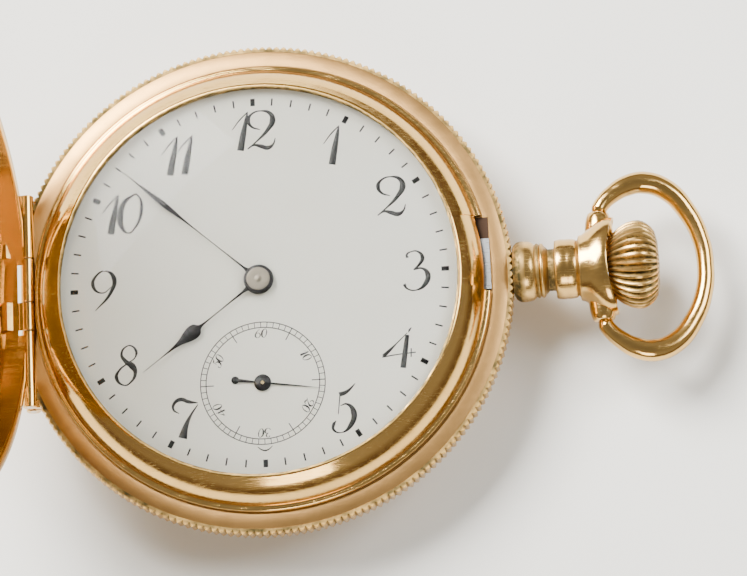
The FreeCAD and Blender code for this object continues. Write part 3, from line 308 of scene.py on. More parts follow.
def edit_all(piece):
    """Enter edit mode on a piece with all of it selected."""
    if bpy.context.object and bpy.context.object.mode != "OBJECT":
        bpy.ops.object.mode_set(mode="OBJECT")
    bpy.ops.object.select_all(action="DESELECT")
    piece.select_set(True)
    bpy.context.view_layer.objects.active = piece
    bpy.ops.object.mode_set(mode="EDIT")
    bpy.ops.mesh.select_all(action="SELECT")


def fresh(name):
    """The primitive just added, named, in edit mode and all selected."""
    piece = bpy.context.object
    piece.name = piece.data.name = name
    bpy.ops.object.mode_set(mode="EDIT")
    bpy.ops.mesh.select_all(action="SELECT")
    return piece


def start_piece(name):
    """A single vertex at the origin, in edit mode, ready to be extruded."""
    bpy.ops.object.select_all(action="DESELECT")
    bpy.ops.mesh.primitive_plane_add(size=MM)
    piece = fresh(name)
    bpy.ops.mesh.merge(type="CENTER")
    return piece


def draw_line(points):
    """Move the lone vertex to the first point and extrude it through the rest."""
    bpy.ops.transform.translate(value=points[0])
    for before, after in zip(points, points[1:]):
        step = Vector(after) - Vector(before)
        bpy.ops.mesh.extrude_region_move(TRANSFORM_OT_translate={"value": step})


def fill_outline(weld=WELD):
    """Weld a drawn outline's ends and fill it with a face."""
    bpy.ops.mesh.select_all(action="SELECT")
    bpy.ops.mesh.remove_doubles(threshold=weld)
    bpy.ops.mesh.edge_face_add()


def end_piece(piece, smooth=40.0):
    """Weld and close a piece, point its faces outwards and shade it."""
    bpy.ops.mesh.select_all(action="SELECT")
    bpy.ops.mesh.remove_doubles(threshold=WELD)
    bpy.ops.mesh.normals_make_consistent(inside=False)
    bpy.ops.object.mode_set(mode="OBJECT")
    bpy.ops.object.shade_smooth_by_angle(angle=math.radians(smooth))
    return piece


def rounded(points, runs=6):
    """A profile in which (x, y, rise) starts an arc that rises to the left of its run."""
    result = []
    count = len(points)
    for i, point in enumerate(points):
        result.append((point[0], point[1]))
        if len(point) > 2 and i + 1 < count:
            end = points[i + 1]
            across, along = end[0] - point[0], end[1] - point[1]
            length, rise = math.hypot(across, along), point[2]
            radius = (length * length / 4 + rise * rise) / (2 * abs(rise))
            half = math.asin(min(1.0, length / (2 * radius)))
            side = 1 if rise > 0 else -1
            for k in range(1, runs):
                angle = half * (2 * k / runs - 1)
                drift = radius * math.sin(angle) / length + 0.5
                lift = side * (radius * math.cos(angle) - radius * math.cos(half)) / length
                result.append((point[0] + across * drift - along * lift,
                               point[1] + along * drift + across * lift))
    return result


def turned(name, profile, axis="Z", at=ORIGIN, steps=160, runs=6, smooth=40.0):
    """A turned piece from a profile of (radius, height) in millimetres about an axis."""
    shape = rounded(profile, runs)
    way = {"Z": lambda r, h: Vector((r, 0, h)), "X": lambda r, h: Vector((h, 0, r))}[axis]
    piece = start_piece(name)
    draw_line([(way(r, h) + Vector(at)) * MM for r, h in shape + shape[:1]])
    bpy.ops.mesh.select_all(action="SELECT")
    bpy.ops.mesh.spin(steps=steps, angle=FULL_TURN, center=Vector(at) * MM,
                      axis=AXIS_Z if axis == "Z" else AXIS_X)
    return end_piece(piece, smooth)


def block(name, low_corner, high_corner, bevel=0.0):
    """A box between two corners in millimetres, its edges eased."""
    bpy.ops.object.select_all(action="DESELECT")
    bpy.ops.mesh.primitive_cube_add(size=1)
    piece = fresh(name)
    corners = list(zip(low_corner, high_corner))
    bpy.ops.transform.resize(value=[(b - a) * MM for a, b in corners])
    bpy.ops.transform.translate(value=[(a + b) / 2 * MM for a, b in corners])
    if bevel:
        bpy.ops.mesh.bevel(offset=bevel * MM, segments=2, affect="EDGES")
    bpy.ops.object.mode_set(mode="OBJECT")
    return piece


def turn_mesh(piece, angle, centre=ORIGIN, axis="Z"):
    """Turn a piece's mesh in edit mode."""
    edit_all(piece)
    # with no window, the operator turns the other way
    bpy.ops.transform.rotate(value=-angle, orient_axis=axis, orient_type="GLOBAL",
                             center_override=centre)
    bpy.ops.object.mode_set(mode="OBJECT")


def shift_mesh(piece, by):
    """Move a piece's mesh, in millimetres."""
    edit_all(piece)
    bpy.ops.transform.translate(value=[c * MM for c in by])
    bpy.ops.object.mode_set(mode="OBJECT")


def repeat_round(piece, count, centre):
    """Copies of the mesh, spun evenly about an upright axis."""
    edit_all(piece)
    bpy.ops.mesh.spin(steps=count, dupli=True, angle=FULL_TURN, center=centre, axis=AXIS_Z)
    bpy.ops.mesh.select_all(action="SELECT")
    bpy.ops.mesh.remove_doubles(threshold=0.001 * MM)
    bpy.ops.object.mode_set(mode="OBJECT")


def select_where(piece, test):
    """Select the vertices whose place, in millimetres, passes the test."""
    edit_all(piece)
    bpy.ops.mesh.select_all(action="DESELECT")
    bpy.ops.mesh.select_mode(type="VERT")
    bpy.ops.object.mode_set(mode="OBJECT")
    for vertex in piece.data.vertices:
        vertex.select = test(vertex.co / MM)
    bpy.ops.object.mode_set(mode="EDIT")


def squeeze(piece, test, scale, centre=ORIGIN):
    """Draw the vertices that pass the test towards a centre."""
    select_where(piece, test)
    bpy.ops.transform.resize(value=scale, center_override=centre)
    bpy.ops.object.mode_set(mode="OBJECT")


def chord_cut(piece, x):
    """Take away what lies past a chord on the hinge side, and close the cut."""
    edit_all(piece)
    bpy.ops.mesh.bisect(plane_co=(x * MM, 0, 0), plane_no=(1, 0, 0), use_fill=True,
                        clear_inner=True)
    end_piece(piece)


def joined(name, pieces):
    """Several meshes as one piece."""
    bpy.ops.object.select_all(action="DESELECT")
    for piece in pieces:
        piece.select_set(True)
    bpy.context.view_layer.objects.active = pieces[0]
    if len(pieces) > 1:
        bpy.ops.object.join()
    pieces[0].name = pieces[0].data.name = name
    return pieces[0]


def start_curve(name, places, pointed=False):
    """A smooth curve through (x, y, z) places; where pointed, a place at x = 0 is a corner."""
    bpy.ops.object.select_all(action="DESELECT")
    bpy.ops.curve.primitive_bezier_curve_add()
    curve = bpy.context.object
    curve.name = name
    spline = curve.data.splines[0]
    spline.bezier_points.add(len(places) - 2)
    for spot, place in zip(spline.bezier_points, places):
        spot.co = [c * MM for c in place]
        corner = pointed and place[0] == 0
        spot.handle_left_type = spot.handle_right_type = "VECTOR" if corner else "AUTO"
    return curve.data, spline


def curve_mesh():
    """The active curve as a mesh, in edit mode with all of it selected."""
    bpy.ops.object.convert(target="MESH")
    piece = bpy.context.object
    bpy.ops.object.mode_set(mode="EDIT")
    bpy.ops.mesh.select_all(action="SELECT")
    return piece


def round_wire(name, places, radii, depth, resolution, sides):
    """A round wire through places, its radius a share of depth at each."""
    curve, spline = start_curve(name, places)
    for spot, radius in zip(spline.bezier_points, radii):
        spot.radius = radius
    curve.dimensions = "3D"
    curve.resolution_u = resolution
    curve.bevel_depth = depth
    curve.bevel_resolution = sides
    curve.use_fill_caps = True
    return curve_mesh()


def stroke(name, points, width, thin):
    """A pen stroke lying on the dial: a smooth curve of changing width, pressed flat."""
    piece = round_wire(name, [(x, y, 0) for x, y, breadth in points],
                       [breadth / width for x, y, breadth in points], width * MM / 2, 6, 1)
    bpy.ops.transform.resize(value=(1, 1, thin))
    bpy.ops.transform.translate(value=(0, 0, PEN_HEIGHT * MM))
    bpy.ops.object.mode_set(mode="OBJECT")
    return piece


def dress(piece, material, body="root", replaces=()):
    """Give a piece its finish, its body and the nodes that it stands for."""
    piece.data.materials.clear()
    piece.data.materials.append(material)
    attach(piece, body)
    if replaces:
        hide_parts(*replaces)


def finish_node(name, material):
    """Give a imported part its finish."""
    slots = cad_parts[name].data.materials
    slots.clear()
    slots.append(material)


# Finishes of this watch

def axes(tree):
    """The three Object coordinates in millimetres."""
    split = tree.nodes.new("ShaderNodeSeparateXYZ")
    link(tree, object_place(tree), split.inputs[0])
    return split.outputs


def radius_value(tree):
    """Distance from the watch's axis in millimetres."""
    x, y = axes(tree)[:2]
    return maths(tree, "SQRT", maths(tree, "ADD", maths(tree, "MULTIPLY", x, x),
                                     maths(tree, "MULTIPLY", y, y)))


def span_mask(tree, value, stops):
    """A grey ramp over a stretch of millimetres, from (place, grey) stops."""
    first, last = stops[0][0], stops[-1][0]
    share = maths(tree, "DIVIDE", maths(tree, "SUBTRACT", value, first), last - first, True)
    return ramp(tree, share, [((place - first) / (last - first), grey) for place, grey in stops])


def patchy(tree, dirt, scale, stops, detail=5.0):
    """Dirt that has come away in patches."""
    wear = ramp(tree, noise(tree, object_place(tree), scale, detail, 0.7), stops)
    return maths(tree, "MULTIPLY", dirt, wear)


def pendant_dirt(tree):
    """Dark green patina in the joint with the band and in the turned grooves."""
    joints = span_mask(tree, axes(tree)[0], [
        (17.2, 1.0), (17.9, 1.0), (18.35, 0.15), (18.9, 0.3), (19.15, 0.9), (19.35, 0.3),
        (19.7, 0.5), (19.95, 1.0), (20.25, 0.9), (20.5, 0.1), (21.75, 0.1), (21.95, 0.55),
        (22.2, 0.0), (25.0, 0.0)])
    return patchy(tree, joints, 1.6, [(0.30, 0.5), (0.55, 1.0)], 6.0)


def crown_dirt(tree):
    """Dirt kept between the flutes and at the crown's foot."""
    x, y, z = axes(tree)
    angle = maths(tree, "ARCTAN2", y, maths(tree, "SUBTRACT", z, STEM_HEIGHT))
    wave = maths(tree, "COSINE", maths(tree, "MULTIPLY", angle, float(sizes().flutes)))
    groove = ramp(tree, maths(tree, "MULTIPLY_ADD", wave, 0.5),
                  [(0.0, 1.0), (0.45, 0.85), (0.75, 0.3), (1.0, 0.12)])
    foot = span_mask(tree, x, [(23.9, 1.0), (24.7, 0.7), (25.8, 0.45), (27.6, 0.3)])
    dirt = maths(tree, "MAXIMUM", groove, maths(tree, "MULTIPLY", foot, 0.5))
    return patchy(tree, dirt, 1.8, [(0.3, 0.4), (0.6, 1.0)])


def reed_dirt(tree):
    """Dirt kept in the grooves between the reeds."""
    groove = span_mask(tree, radius_value(tree), [(17.24, 1.0), (17.32, 0.75), (17.44, 0.0)])
    return patchy(tree, groove, 0.8, [(0.30, 0.45), (0.65, 1.0)])


def bezel_dirt(tree):
    """Green-black dirt under the bezel's bead and round its inner lip."""
    lip = sizes().bezel_lip
    foot = span_mask(tree, axes(tree)[2], [
        (BEZEL_LOW, 0.85), (BEZEL_LOW + 0.12, 0.55), (BEZEL_LOW + 0.3, 0.0)])
    inner = span_mask(tree, radius_value(tree), [(lip, 1.0), (lip + 0.07, 0.9), (lip + 0.22, 0.0)])
    return patchy(tree, maths(tree, "MAXIMUM", foot, inner), 1.2, [(0.30, 0.35), (0.6, 1.0)])


def satin_gold():
    """The brushed seat under the lid: rosy, turned on the lathe, with small nicks."""
    material, tree, shader = new_material("satin_gold")
    radius = radius_value(tree)
    ring = tree.nodes.new("ShaderNodeCombineXYZ")
    link(tree, radius, ring.inputs[0])
    rings = noise(tree, ring.outputs[0], 14.0, 3.0, 0.7)
    scratches, stain = hairlines(tree, 0.6)
    base = mix(tree, stain, colours().satin, tuple(0.72 * c for c in colours().satin))
    base = mix(tree, maths(tree, "MULTIPLY", rings, 0.35), base, colours().gold)
    link(tree, base, shader.inputs["Base Color"])
    shader.inputs["Metallic"].default_value = 1.0
    rough = maths(tree, "ADD", maths(tree, "MULTIPLY", rings, 0.16), 0.30)
    link(tree, rough, shader.inputs["Roughness"])
    add_bump(tree, shader, maths(tree, "ADD", rings, scratches), 0.25)
    return material


def steel_material(name, colour=(0.60, 0.61, 0.62), rough=0.22, brushed=0.5):
    """Steel with a straight grain."""
    material, tree, shader = new_material(name)
    grain = noise(tree, object_place(tree, (0.6, 16.0, 3.0)), 1.0, 3.0, 0.6)
    scratches, stain = hairlines(tree, 0.6)
    base = mix(tree, maths(tree, "MULTIPLY", stain, 0.5), colour, tuple(0.75 * c for c in colour))
    link(tree, base, shader.inputs["Base Color"])
    shader.inputs["Metallic"].default_value = 1.0
    rough = maths(tree, "ADD", maths(tree, "MULTIPLY", grain, 0.3 * brushed), rough)
    link(tree, rough, shader.inputs["Roughness"])
    add_bump(tree, shader, maths(tree, "ADD", grain, scratches), 0.3 * brushed)
    return material


def enamel_material():
    """Fired enamel: warm white, faintly uneven, very smooth, with a few brownish flecks."""
    material, tree, shader = new_material("enamel")
    cloud = noise(tree, object_place(tree), 0.12, 4.0, 0.6)
    fleck = noise(tree, object_place(tree), 3.0, 6.0, 0.7)
    paper = mix(tree, ramp(tree, cloud, [(0.3, 0.0), (0.75, 1.0)]), colours().enamel,
                tuple(c * f for c, f in zip(colours().enamel, (0.97, 0.955, 0.92))))
    base = mix(tree, ramp(tree, fleck, [(0.70, 0.0), (0.80, 0.35)]), paper, (0.55, 0.48, 0.36))
    link(tree, base, shader.inputs["Base Color"])
    rough = maths(tree, "ADD", maths(tree, "MULTIPLY", cloud, 0.12), 0.14)
    link(tree, rough, shader.inputs["Roughness"])
    shader.inputs["Coat Weight"].default_value = 0.4
    shader.inputs["Coat Roughness"].default_value = 0.05
    return material


def ink_material():
    """Fired black print, a little worn."""
    material, tree, shader = new_material("ink")
    wear = noise(tree, object_place(tree), 5.0, 4.0, 0.6)
    worn = ramp(tree, wear, [(0.55, 0.0), (0.8, 0.5)])
    base = mix(tree, worn, colours().ink, (0.09, 0.08, 0.075))
    link(tree, base, shader.inputs["Base Color"])
    rough = maths(tree, "ADD", maths(tree, "MULTIPLY", wear, 0.2), 0.3)
    link(tree, rough, shader.inputs["Roughness"])
    return material


def black_steel_material():
    """Blackened steel of the hands, lighter where the edges catch the light."""
    material, tree, shader = new_material("black_steel")
    wear = noise(tree, object_place(tree), 2.5, 5.0, 0.65)
    worn = ramp(tree, wear, [(0.4, 0.0), (0.8, 1.0)])
    base = mix(tree, worn, (0.012, 0.011, 0.012), (0.05, 0.045, 0.05))
    link(tree, base, shader.inputs["Base Color"])
    shader.inputs["Metallic"].default_value = 0.6
    rough = maths(tree, "ADD", maths(tree, "MULTIPLY", wear, 0.25), 0.25)
    link(tree, rough, shader.inputs["Roughness"])
    return material


def glass_material():
    """The clear domed crystal, with the faintest dust."""
    material, tree, shader = new_material("crystal")
    dust = noise(tree, object_place(tree), 2.0, 5.0, 0.7)
    shader.inputs["Base Color"].default_value = (0.99, 1.0, 0.99, 1)
    shader.inputs["Transmission Weight"].default_value = 1.0
    shader.inputs["IOR"].default_value = 1.12
    rough = maths(tree, "MULTIPLY", ramp(tree, dust, [(0.6, 0.0), (0.9, 1.0)]), 0.02)
    link(tree, rough, shader.inputs["Roughness"])
    return material


def nickel_material():
    """Movement plates with broad decorative stripes."""
    material, tree, shader = new_material("striped_nickel")
    wave = tree.nodes.new("ShaderNodeTexWave")
    wave.wave_type = "BANDS"
    wave.bands_direction = "DIAGONAL"
    wave.inputs["Scale"].default_value = 0.18
    wave.inputs["Distortion"].default_value = 0.4
    link(tree, object_place(tree), wave.inputs["Vector"])
    scratches, stain = hairlines(tree, 0.4)
    stripes = wave.outputs["Fac"]
    base = mix(tree, stripes, (0.62, 0.60, 0.54), (0.78, 0.76, 0.70))
    base = mix(tree, maths(tree, "MULTIPLY", stain, 0.3), base, (0.55, 0.50, 0.40))
    link(tree, base, shader.inputs["Base Color"])
    shader.inputs["Metallic"].default_value = 1.0
    rough = maths(tree, "ADD", maths(tree, "MULTIPLY", stripes, 0.18), 0.22)
    link(tree, rough, shader.inputs["Roughness"])
    add_bump(tree, shader, maths(tree, "ADD", stripes, scratches), 0.1)
    return material


def ruby_material():
    material, tree, shader = new_material("ruby")
    cloud = noise(tree, object_place(tree), 1.5, 3.0, 0.5)
    link(tree, mix(tree, cloud, (0.45, 0.01, 0.06), (0.75, 0.05, 0.2)), shader.inputs["Base Color"])
    link(tree, maths(tree, "MULTIPLY", cloud, 0.2), shader.inputs["Roughness"])
    shader.inputs["Coat Weight"].default_value = 1.0
    return material


def floor_material():
    """A pale matt tabletop."""
    material, tree, shader = new_material("floor")
    soft = noise(tree, object_place(tree, (0.02, 0.02, 0.02)), 1.0, 2.0, 0.5)
    link(tree, mix(tree, soft, colours().floor, tuple(0.98 * c for c in colours().floor)),
         shader.inputs["Base Color"])
    shader.inputs["Roughness"].default_value = 0.8
    return material


class WATCH_OT_stage(bpy.types.Operator):
    """Table, soft lights and the camera at the photograph's angle"""
    bl_idname = "watch.stage"
    bl_label = "Stage"

    camera_place = (25.72, -62.20, 238.81)
    camera_turn = (14.5285, 5.0560, -2.5139)
    camera_lens = 168.7
    table_size, table_height = 3.0, -0.0002
    # name, place, size, power and colour
    lights = (("key_light", (-0.35, 0.35, 0.55), 0.4, 22.0, (1.0, 0.985, 0.95)),
              ("fill_light", (0.45, 0.15, 0.45), 0.3, 3.2, (0.95, 0.98, 1.0)),
              ("front_light", (0.05, -0.55, 0.35), 0.25, 1.4, (1.0, 0.95, 0.88)))
    # from below to overhead
    sky = ((0.42, (0.10, 0.06, 0.035)), (0.58, (0.22, 0.16, 0.11)), (0.70, (0.52, 0.49, 0.44)),
           (0.84, (0.44, 0.41, 0.36)), (1.0, (0.30, 0.29, 0.27)))
    sky_strength = 0.75

    def execute(self, context):
        bpy.ops.object.select_all(action="DESELECT")
        bpy.ops.object.camera_add(location=[c * MM for c in self.camera_place],
                                  rotation=[math.radians(a) for a in self.camera_turn])
        camera = context.object
        camera.name = "camera"
        camera.data.sensor_fit = "HORIZONTAL"
        camera.data.sensor_width = 36.0
        camera.data.lens = self.camera_lens
        camera.data.clip_start = 0.01
        camera.data.clip_end = 10.0
        context.scene.camera = camera

        bpy.ops.mesh.primitive_plane_add(size=self.table_size, location=(0, 0, self.table_height))
        table = context.object
        table.name = "floor"
        table.data.materials.append(floor_material())

        for name, place, size, power, tone in self.lights:
            bpy.ops.object.light_add(type="AREA", location=place)
            lamp = context.object
            lamp.name = name
            lamp.data.energy, lamp.data.size, lamp.data.color = power, size, tone
            lamp.rotation_euler = (-Vector(place)).to_track_quat("-Z", "Y").to_euler()

        world = bpy.data.worlds.new("studio")
        context.scene.world = world
        world.use_nodes = True
        tree = world.node_tree
        background = tree.nodes["Background"]
        where = tree.nodes.new("ShaderNodeTexCoord")
        split = tree.nodes.new("ShaderNodeSeparateXYZ")
        link(tree, where.outputs["Generated"], split.inputs[0])
        sky = ramp(tree, maths(tree, "MULTIPLY_ADD", split.outputs[2], 0.5), self.sky)
        link(tree, sky, background.inputs["Color"])
        background.inputs["Strength"].default_value = self.sky_strength
        return {"FINISHED"}


# Case

def knuckle(start, end, height):
    """A hinge tube along Y, bored for its pin, with eased ends."""
    ease, bore, radius = 0.05, 0.22, HINGE_RADIUS
    tube = turned("knuckle", [
        (bore, start), (radius - ease, start), (radius, start + ease), (radius, end - ease),
        (radius - ease, end), (bore, end)], "X", steps=40)
    turn_mesh(tube, math.pi / 2)
    shift_mesh(tube, (HINGE_X, 0, height))
    return tube


FINISHES = {
    "enamel": ("dial",),
    "steel": ("lock_spring", "lift_spring", "case_screws", "case_spring_screws", "front_hinge_pin",
              "back_hinge_pin", "winding_stem", "winding_pinion", "clutch_wheel", "clutch_lever",
              "setting_lever", "click", "click_spring", "crown_wheel", "ratchet_wheel",
              "barrel_arbor", "mainspring", "pallet_fork", "escape_wheel", "balance_staff",
              "cannon_pinion", "minute_wheel_post", "regulator"),
    "blue_steel": ("bridge_screws", "crown_wheel_screw", "ratchet_screw", "click_screw",
                   "cock_screw", "hairspring", "hairspring_stud"),
    "striped_nickel": ("main_plate", "barrel_bridge", "train_bridge", "pallet_bridge",
                       "balance_cock"),
    "wheel_brass": ("barrel_cover", "mainspring_barrel", "center_wheel", "third_wheel",
                    "fourth_wheel", "minute_wheel", "hour_wheel", "balance_wheel",
                    "pendant_sleeve"),
    "ruby": ("bridge_jewels", "plate_jewels", "center_jewel"),
    "inner_gold": ("inner_cover",),
}


class WATCH_OT_finishes(bpy.types.Operator):
    """The finishes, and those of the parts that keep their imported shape"""
    bl_idname = "watch.finishes"
    bl_label = "Finishes"

    def execute(self, context):
        gold = colours().gold
        gold_material("polished_gold", gold, 0.10, 0.45)
        gold_material("inner_gold", tuple(0.97 * c for c in gold), 0.14, 0.6)
        gold_material("wheel_brass", (0.72, 0.55, 0.27), 0.24, 0.6)
        steel_material("steel")
        steel_material("blue_steel", (0.03, 0.07, 0.32), 0.2, 0.4)
        enamel_material()
        ink_material()
        black_steel_material()
        steel_material("worn_steel", (0.30, 0.26, 0.21), 0.32, 0.8)
        # near-black finish of painted shade, for the plate in the catch opening
        steel_material("painted_catch_shade", (0.05, 0.03, 0.02), 0.5, 0.3)
        glass_material()
        nickel_material()
        ruby_material()
        for kind, names in FINISHES.items():
            for name in names:
                finish_node(name, finish(kind))
        return {"FINISHED"}


class WATCH_OT_band(bpy.types.Operator):
    """Case band: coined edge, satin seat, skirt and its half of the hinges"""
    bl_idname = "watch.band"
    bl_label = "Case band"

    reed_depth, reed_side = 0.22, 0.35
    bore = 14.6
    edge_inner = 17.08

    def execute(self, context):
        count = sizes().reeds
        top, foot = FLANGE_TOP, BAND_BOTTOM
        inner, rim, bore = self.edge_inner, BAND_RADIUS, self.bore
        edge = turned("reeded_edge", [
            (inner, foot + 0.01), (rim - 0.08, foot + 0.01), (rim, foot + 0.1), (rim, top - 0.1),
            (rim - 0.08, top - 0.015), (inner, top - 0.015)], steps=4 * count)

        def phase(place):
            share = math.atan2(place.y, place.x) / FULL_TURN * count % 1.0
            return round(4 * share) % 4

        def outer(place):
            return math.hypot(place.x, place.y) > BAND_RADIUS - 0.1

        for stage, depth in ((0, 1.0), (1, self.reed_side), (3, self.reed_side)):
            factor = 1 - depth * self.reed_depth / BAND_RADIUS
            squeeze(edge, lambda place: outer(place) and phase(place) == stage, (factor, factor, 1))
        chord_cut(edge, HINGE_X + 0.5)
        gold = gold_material("reeded_gold", colours().gold, 0.17, 0.3, 0.95, reed_dirt)
        dress(edge, gold)

        body = turned("case_body", [
            (bore, foot - 1.05), (bore + 0.9, foot - 1.05), (bore + 0.9, foot),
            (inner - 0.06, foot), (inner, foot + 0.05), (inner, top - 0.03), (inner - 0.04, top),
            (bore + 1.45, top), (bore + 1.42, top - 0.05), (bore, top - 0.05)], steps=240)
        chord_cut(body, HINGE_X + 0.5)
        dress(body, satin_gold(), replaces=("case_band",))

        tubes = []
        for side, height, near, far in (("front", top, -0.6, -0.1), ("back", foot, 0.1, 0.6)):
            for start, end in BAND_KNUCKLES[side]:
                tubes.append(knuckle(start, end, height))
                tubes.append(block("leaf", (HINGE_X + 0.25, start + 0.01, height + near),
                                   (HINGE_X + 0.75, end - 0.01, height + far), 0.03))
        dress(joined("band_knuckles", tubes), finish("polished_gold"))
        return {"FINISHED"}


def cover_shell(name, profile, side):
    """A closed cover with its chord and its own hinge tubes."""
    height, way = (FLANGE_TOP, 1) if side == "front" else (BAND_BOTTOM, -1)
    shell = turned(name, profile, steps=200, runs=12)
    chord_cut(shell, HINGE_X + 0.55)
    parts = [shell]
    outline = [(0.30, 0.25), (0.45, 0.2), (0.47, 0.75), (0.95, 1.2), (0.95, 1.6), (0.38, 1.2)]
    for start, end in COVER_KNUCKLES[side]:
        parts.append(knuckle(start, end, height))
        leaf = start_piece("leaf")
        draw_line([Vector((HINGE_X + a, start + 0.01, height + way * b)) * MM
                   for a, b in outline + outline[:1]])
        fill_outline()
        along = (0, (end - start - 0.02) * MM, 0)
        bpy.ops.mesh.extrude_region_move(TRANSFORM_OT_translate={"value": along})
        parts.append(end_piece(leaf))
    near, far = sorted((height + way * 0.53, height + way * 1.95))
    parts.append(block("web", (HINGE_X + 0.55, -7.6, near), (HINGE_X + 0.64, 7.6, far), 0.02))
    return joined(name, parts)


class WATCH_OT_covers(bpy.types.Operator):
    """Front lid and back cover"""
    bl_idname = "watch.covers"
    bl_label = "Covers"

    def execute(self, context):
        top = FLANGE_TOP + SEAT_GAP
        lid = cover_shell("front_lid", [
            (0, top + 3.8), (7, top + 3.8, 0.6), (15.95, top + 1.4), (16.1, top + 0.25),
            (16.12, top + 0.03), (16.16, top), (17.0, top), (17.05, top + 0.04),
            (16.95, top + 0.4), (16.6, top + 1.05), (16.45, top + 1.45, -0.62), (7, top + 4.25),
            (0, top + 4.25)], "front")
        turn_mesh(lid, -LID_ANGLE, (HINGE_X * MM, 0, FLANGE_TOP * MM), "Y")
        dress(lid, finish("polished_gold"), "front_cover", ("front_cover",))

        seat = BAND_BOTTOM - SEAT_GAP
        back = cover_shell("back_lid", [
            (0, 0), (6.9, 0), (7, 0.01, -0.62), (16.45, seat - 1.45), (16.6, seat - 1.05),
            (16.95, seat - 0.4), (17.05, seat - 0.04), (17.0, seat), (16.1, seat),
            (15.95, seat - 1.4, 0.6), (7, 0.45), (0, 0.45)], "back")
        dress(back, finish("polished_gold"), "back_cover", ("back_cover",))
        return {"FINISHED"}


def sector(name, profile, start, end, steps):
    """A turned piece over part of a turn, in degrees, its two ends closed."""
    shape = rounded(profile)
    turn = math.radians(start)
    piece = start_piece(name)
    draw_line([Vector((r * math.cos(turn), r * math.sin(turn), h)) * MM
               for r, h in shape + shape[:1]])
    fill_outline(0.002 * MM)
    bpy.ops.mesh.spin(steps=steps, angle=-math.radians(end - start), center=ORIGIN, axis=AXIS_Z)
    return end_piece(piece)


class WATCH_OT_bezel(bpy.types.Operator):
    """Bezel with its bead, lip and catch notch, and a dark plate of painted shade in the notch's
    opening
    """
    bl_idname = "watch.bezel"
    bl_label = "Bezel"

    notch = (-5.2, 14.6)
    notch_depth = 1.05
    notch_height = 0.55

    def execute(self, context):
        foot, edge, lip = BEZEL_LOW, sizes().bezel_edge, sizes().bezel_lip
        slope = [(edge - 0.36, foot + 0.36, -0.2), (lip + 0.34, foot + 2.2, -0.05),
                 (lip + 0.02, foot + 2.28), (lip, foot + 2.24), (lip, foot + 2.16),
                 (lip + 0.24, foot + 2.16), (lip + 0.24, foot + 1.88), (lip + 0.07, foot + 1.88),
                 (lip + 0.07, foot + 1.55), (edge - 1.5, foot + 1.55)]
        full = [(edge - 1.5, foot), (edge - 0.02, foot), (edge, foot + 0.03), (edge, foot + 0.2),
                (edge - 0.05, foot + 0.28, -0.02), (edge - 0.22, foot + 0.34),
                (edge - 0.27, foot + 0.33)]
        depth, height = self.notch_depth, self.notch_height
        cut = [(edge - 1.5, foot), (edge - depth, foot), (edge - depth, foot + height),
               (edge - 0.55, foot + height), (edge - 0.5, foot + 0.52, -0.15)]
        start, end = self.notch
        long = sector("bezel_ring", full + slope, end, start + 360, 300)
        short = sector("bezel_notch", cut + slope[1:], start, end, 16)
        ring = joined("bezel_ring", [long, short])
        edit_all(ring)
        end_piece(ring)
        # flat beside the hinge, so that the knuckles clear it
        flat = HINGE_X + HINGE_RADIUS + 0.05
        select_where(ring, lambda place: place.x < flat and abs(place.y) < 4.2)
        bpy.ops.object.mode_set(mode="OBJECT")
        for vertex in ring.data.vertices:
            if vertex.select:
                vertex.co.x = flat * MM
        gold = gold_material("bezel_gold", colours().gold, 0.09, 0.6, 0.93, bezel_dirt)
        dress(ring, gold, replaces=("bezel",))
        # painted shade: a thin near-black plate on the flange top stands in for the shade in the
        # opening beside the lock spring
        shade_plate = block("catch_well", (edge - 1.0, -1.4, FLANGE_TOP - 0.02),
                     (edge - 0.04, 3.9, FLANGE_TOP + 0.015), 0.005)
        dress(shade_plate, finish("painted_catch_shade"))
        return {"FINISHED"}


class WATCH_OT_crystal(bpy.types.Operator):
    """The domed crystal"""
    bl_idname = "watch.crystal"
    bl_label = "Crystal"

    def execute(self, context):
        foot, rim = low("crystal")[2], sizes().bezel_lip + 0.2
        glass = turned("crystal_dome", [
            (0, 0.77), (0.6, 0.77, 0.35), (rim - 0.25, 0), (rim - 0.02, 0), (rim, 0.02), (rim, 0.2),
            (rim - 0.1, 0.24, -0.3), (0.6, 1.17), (0, 1.17)], at=(0, 0, foot), runs=24, steps=200)
        dress(glass, finish("crystal"), replaces=("crystal",))
        return {"FINISHED"}


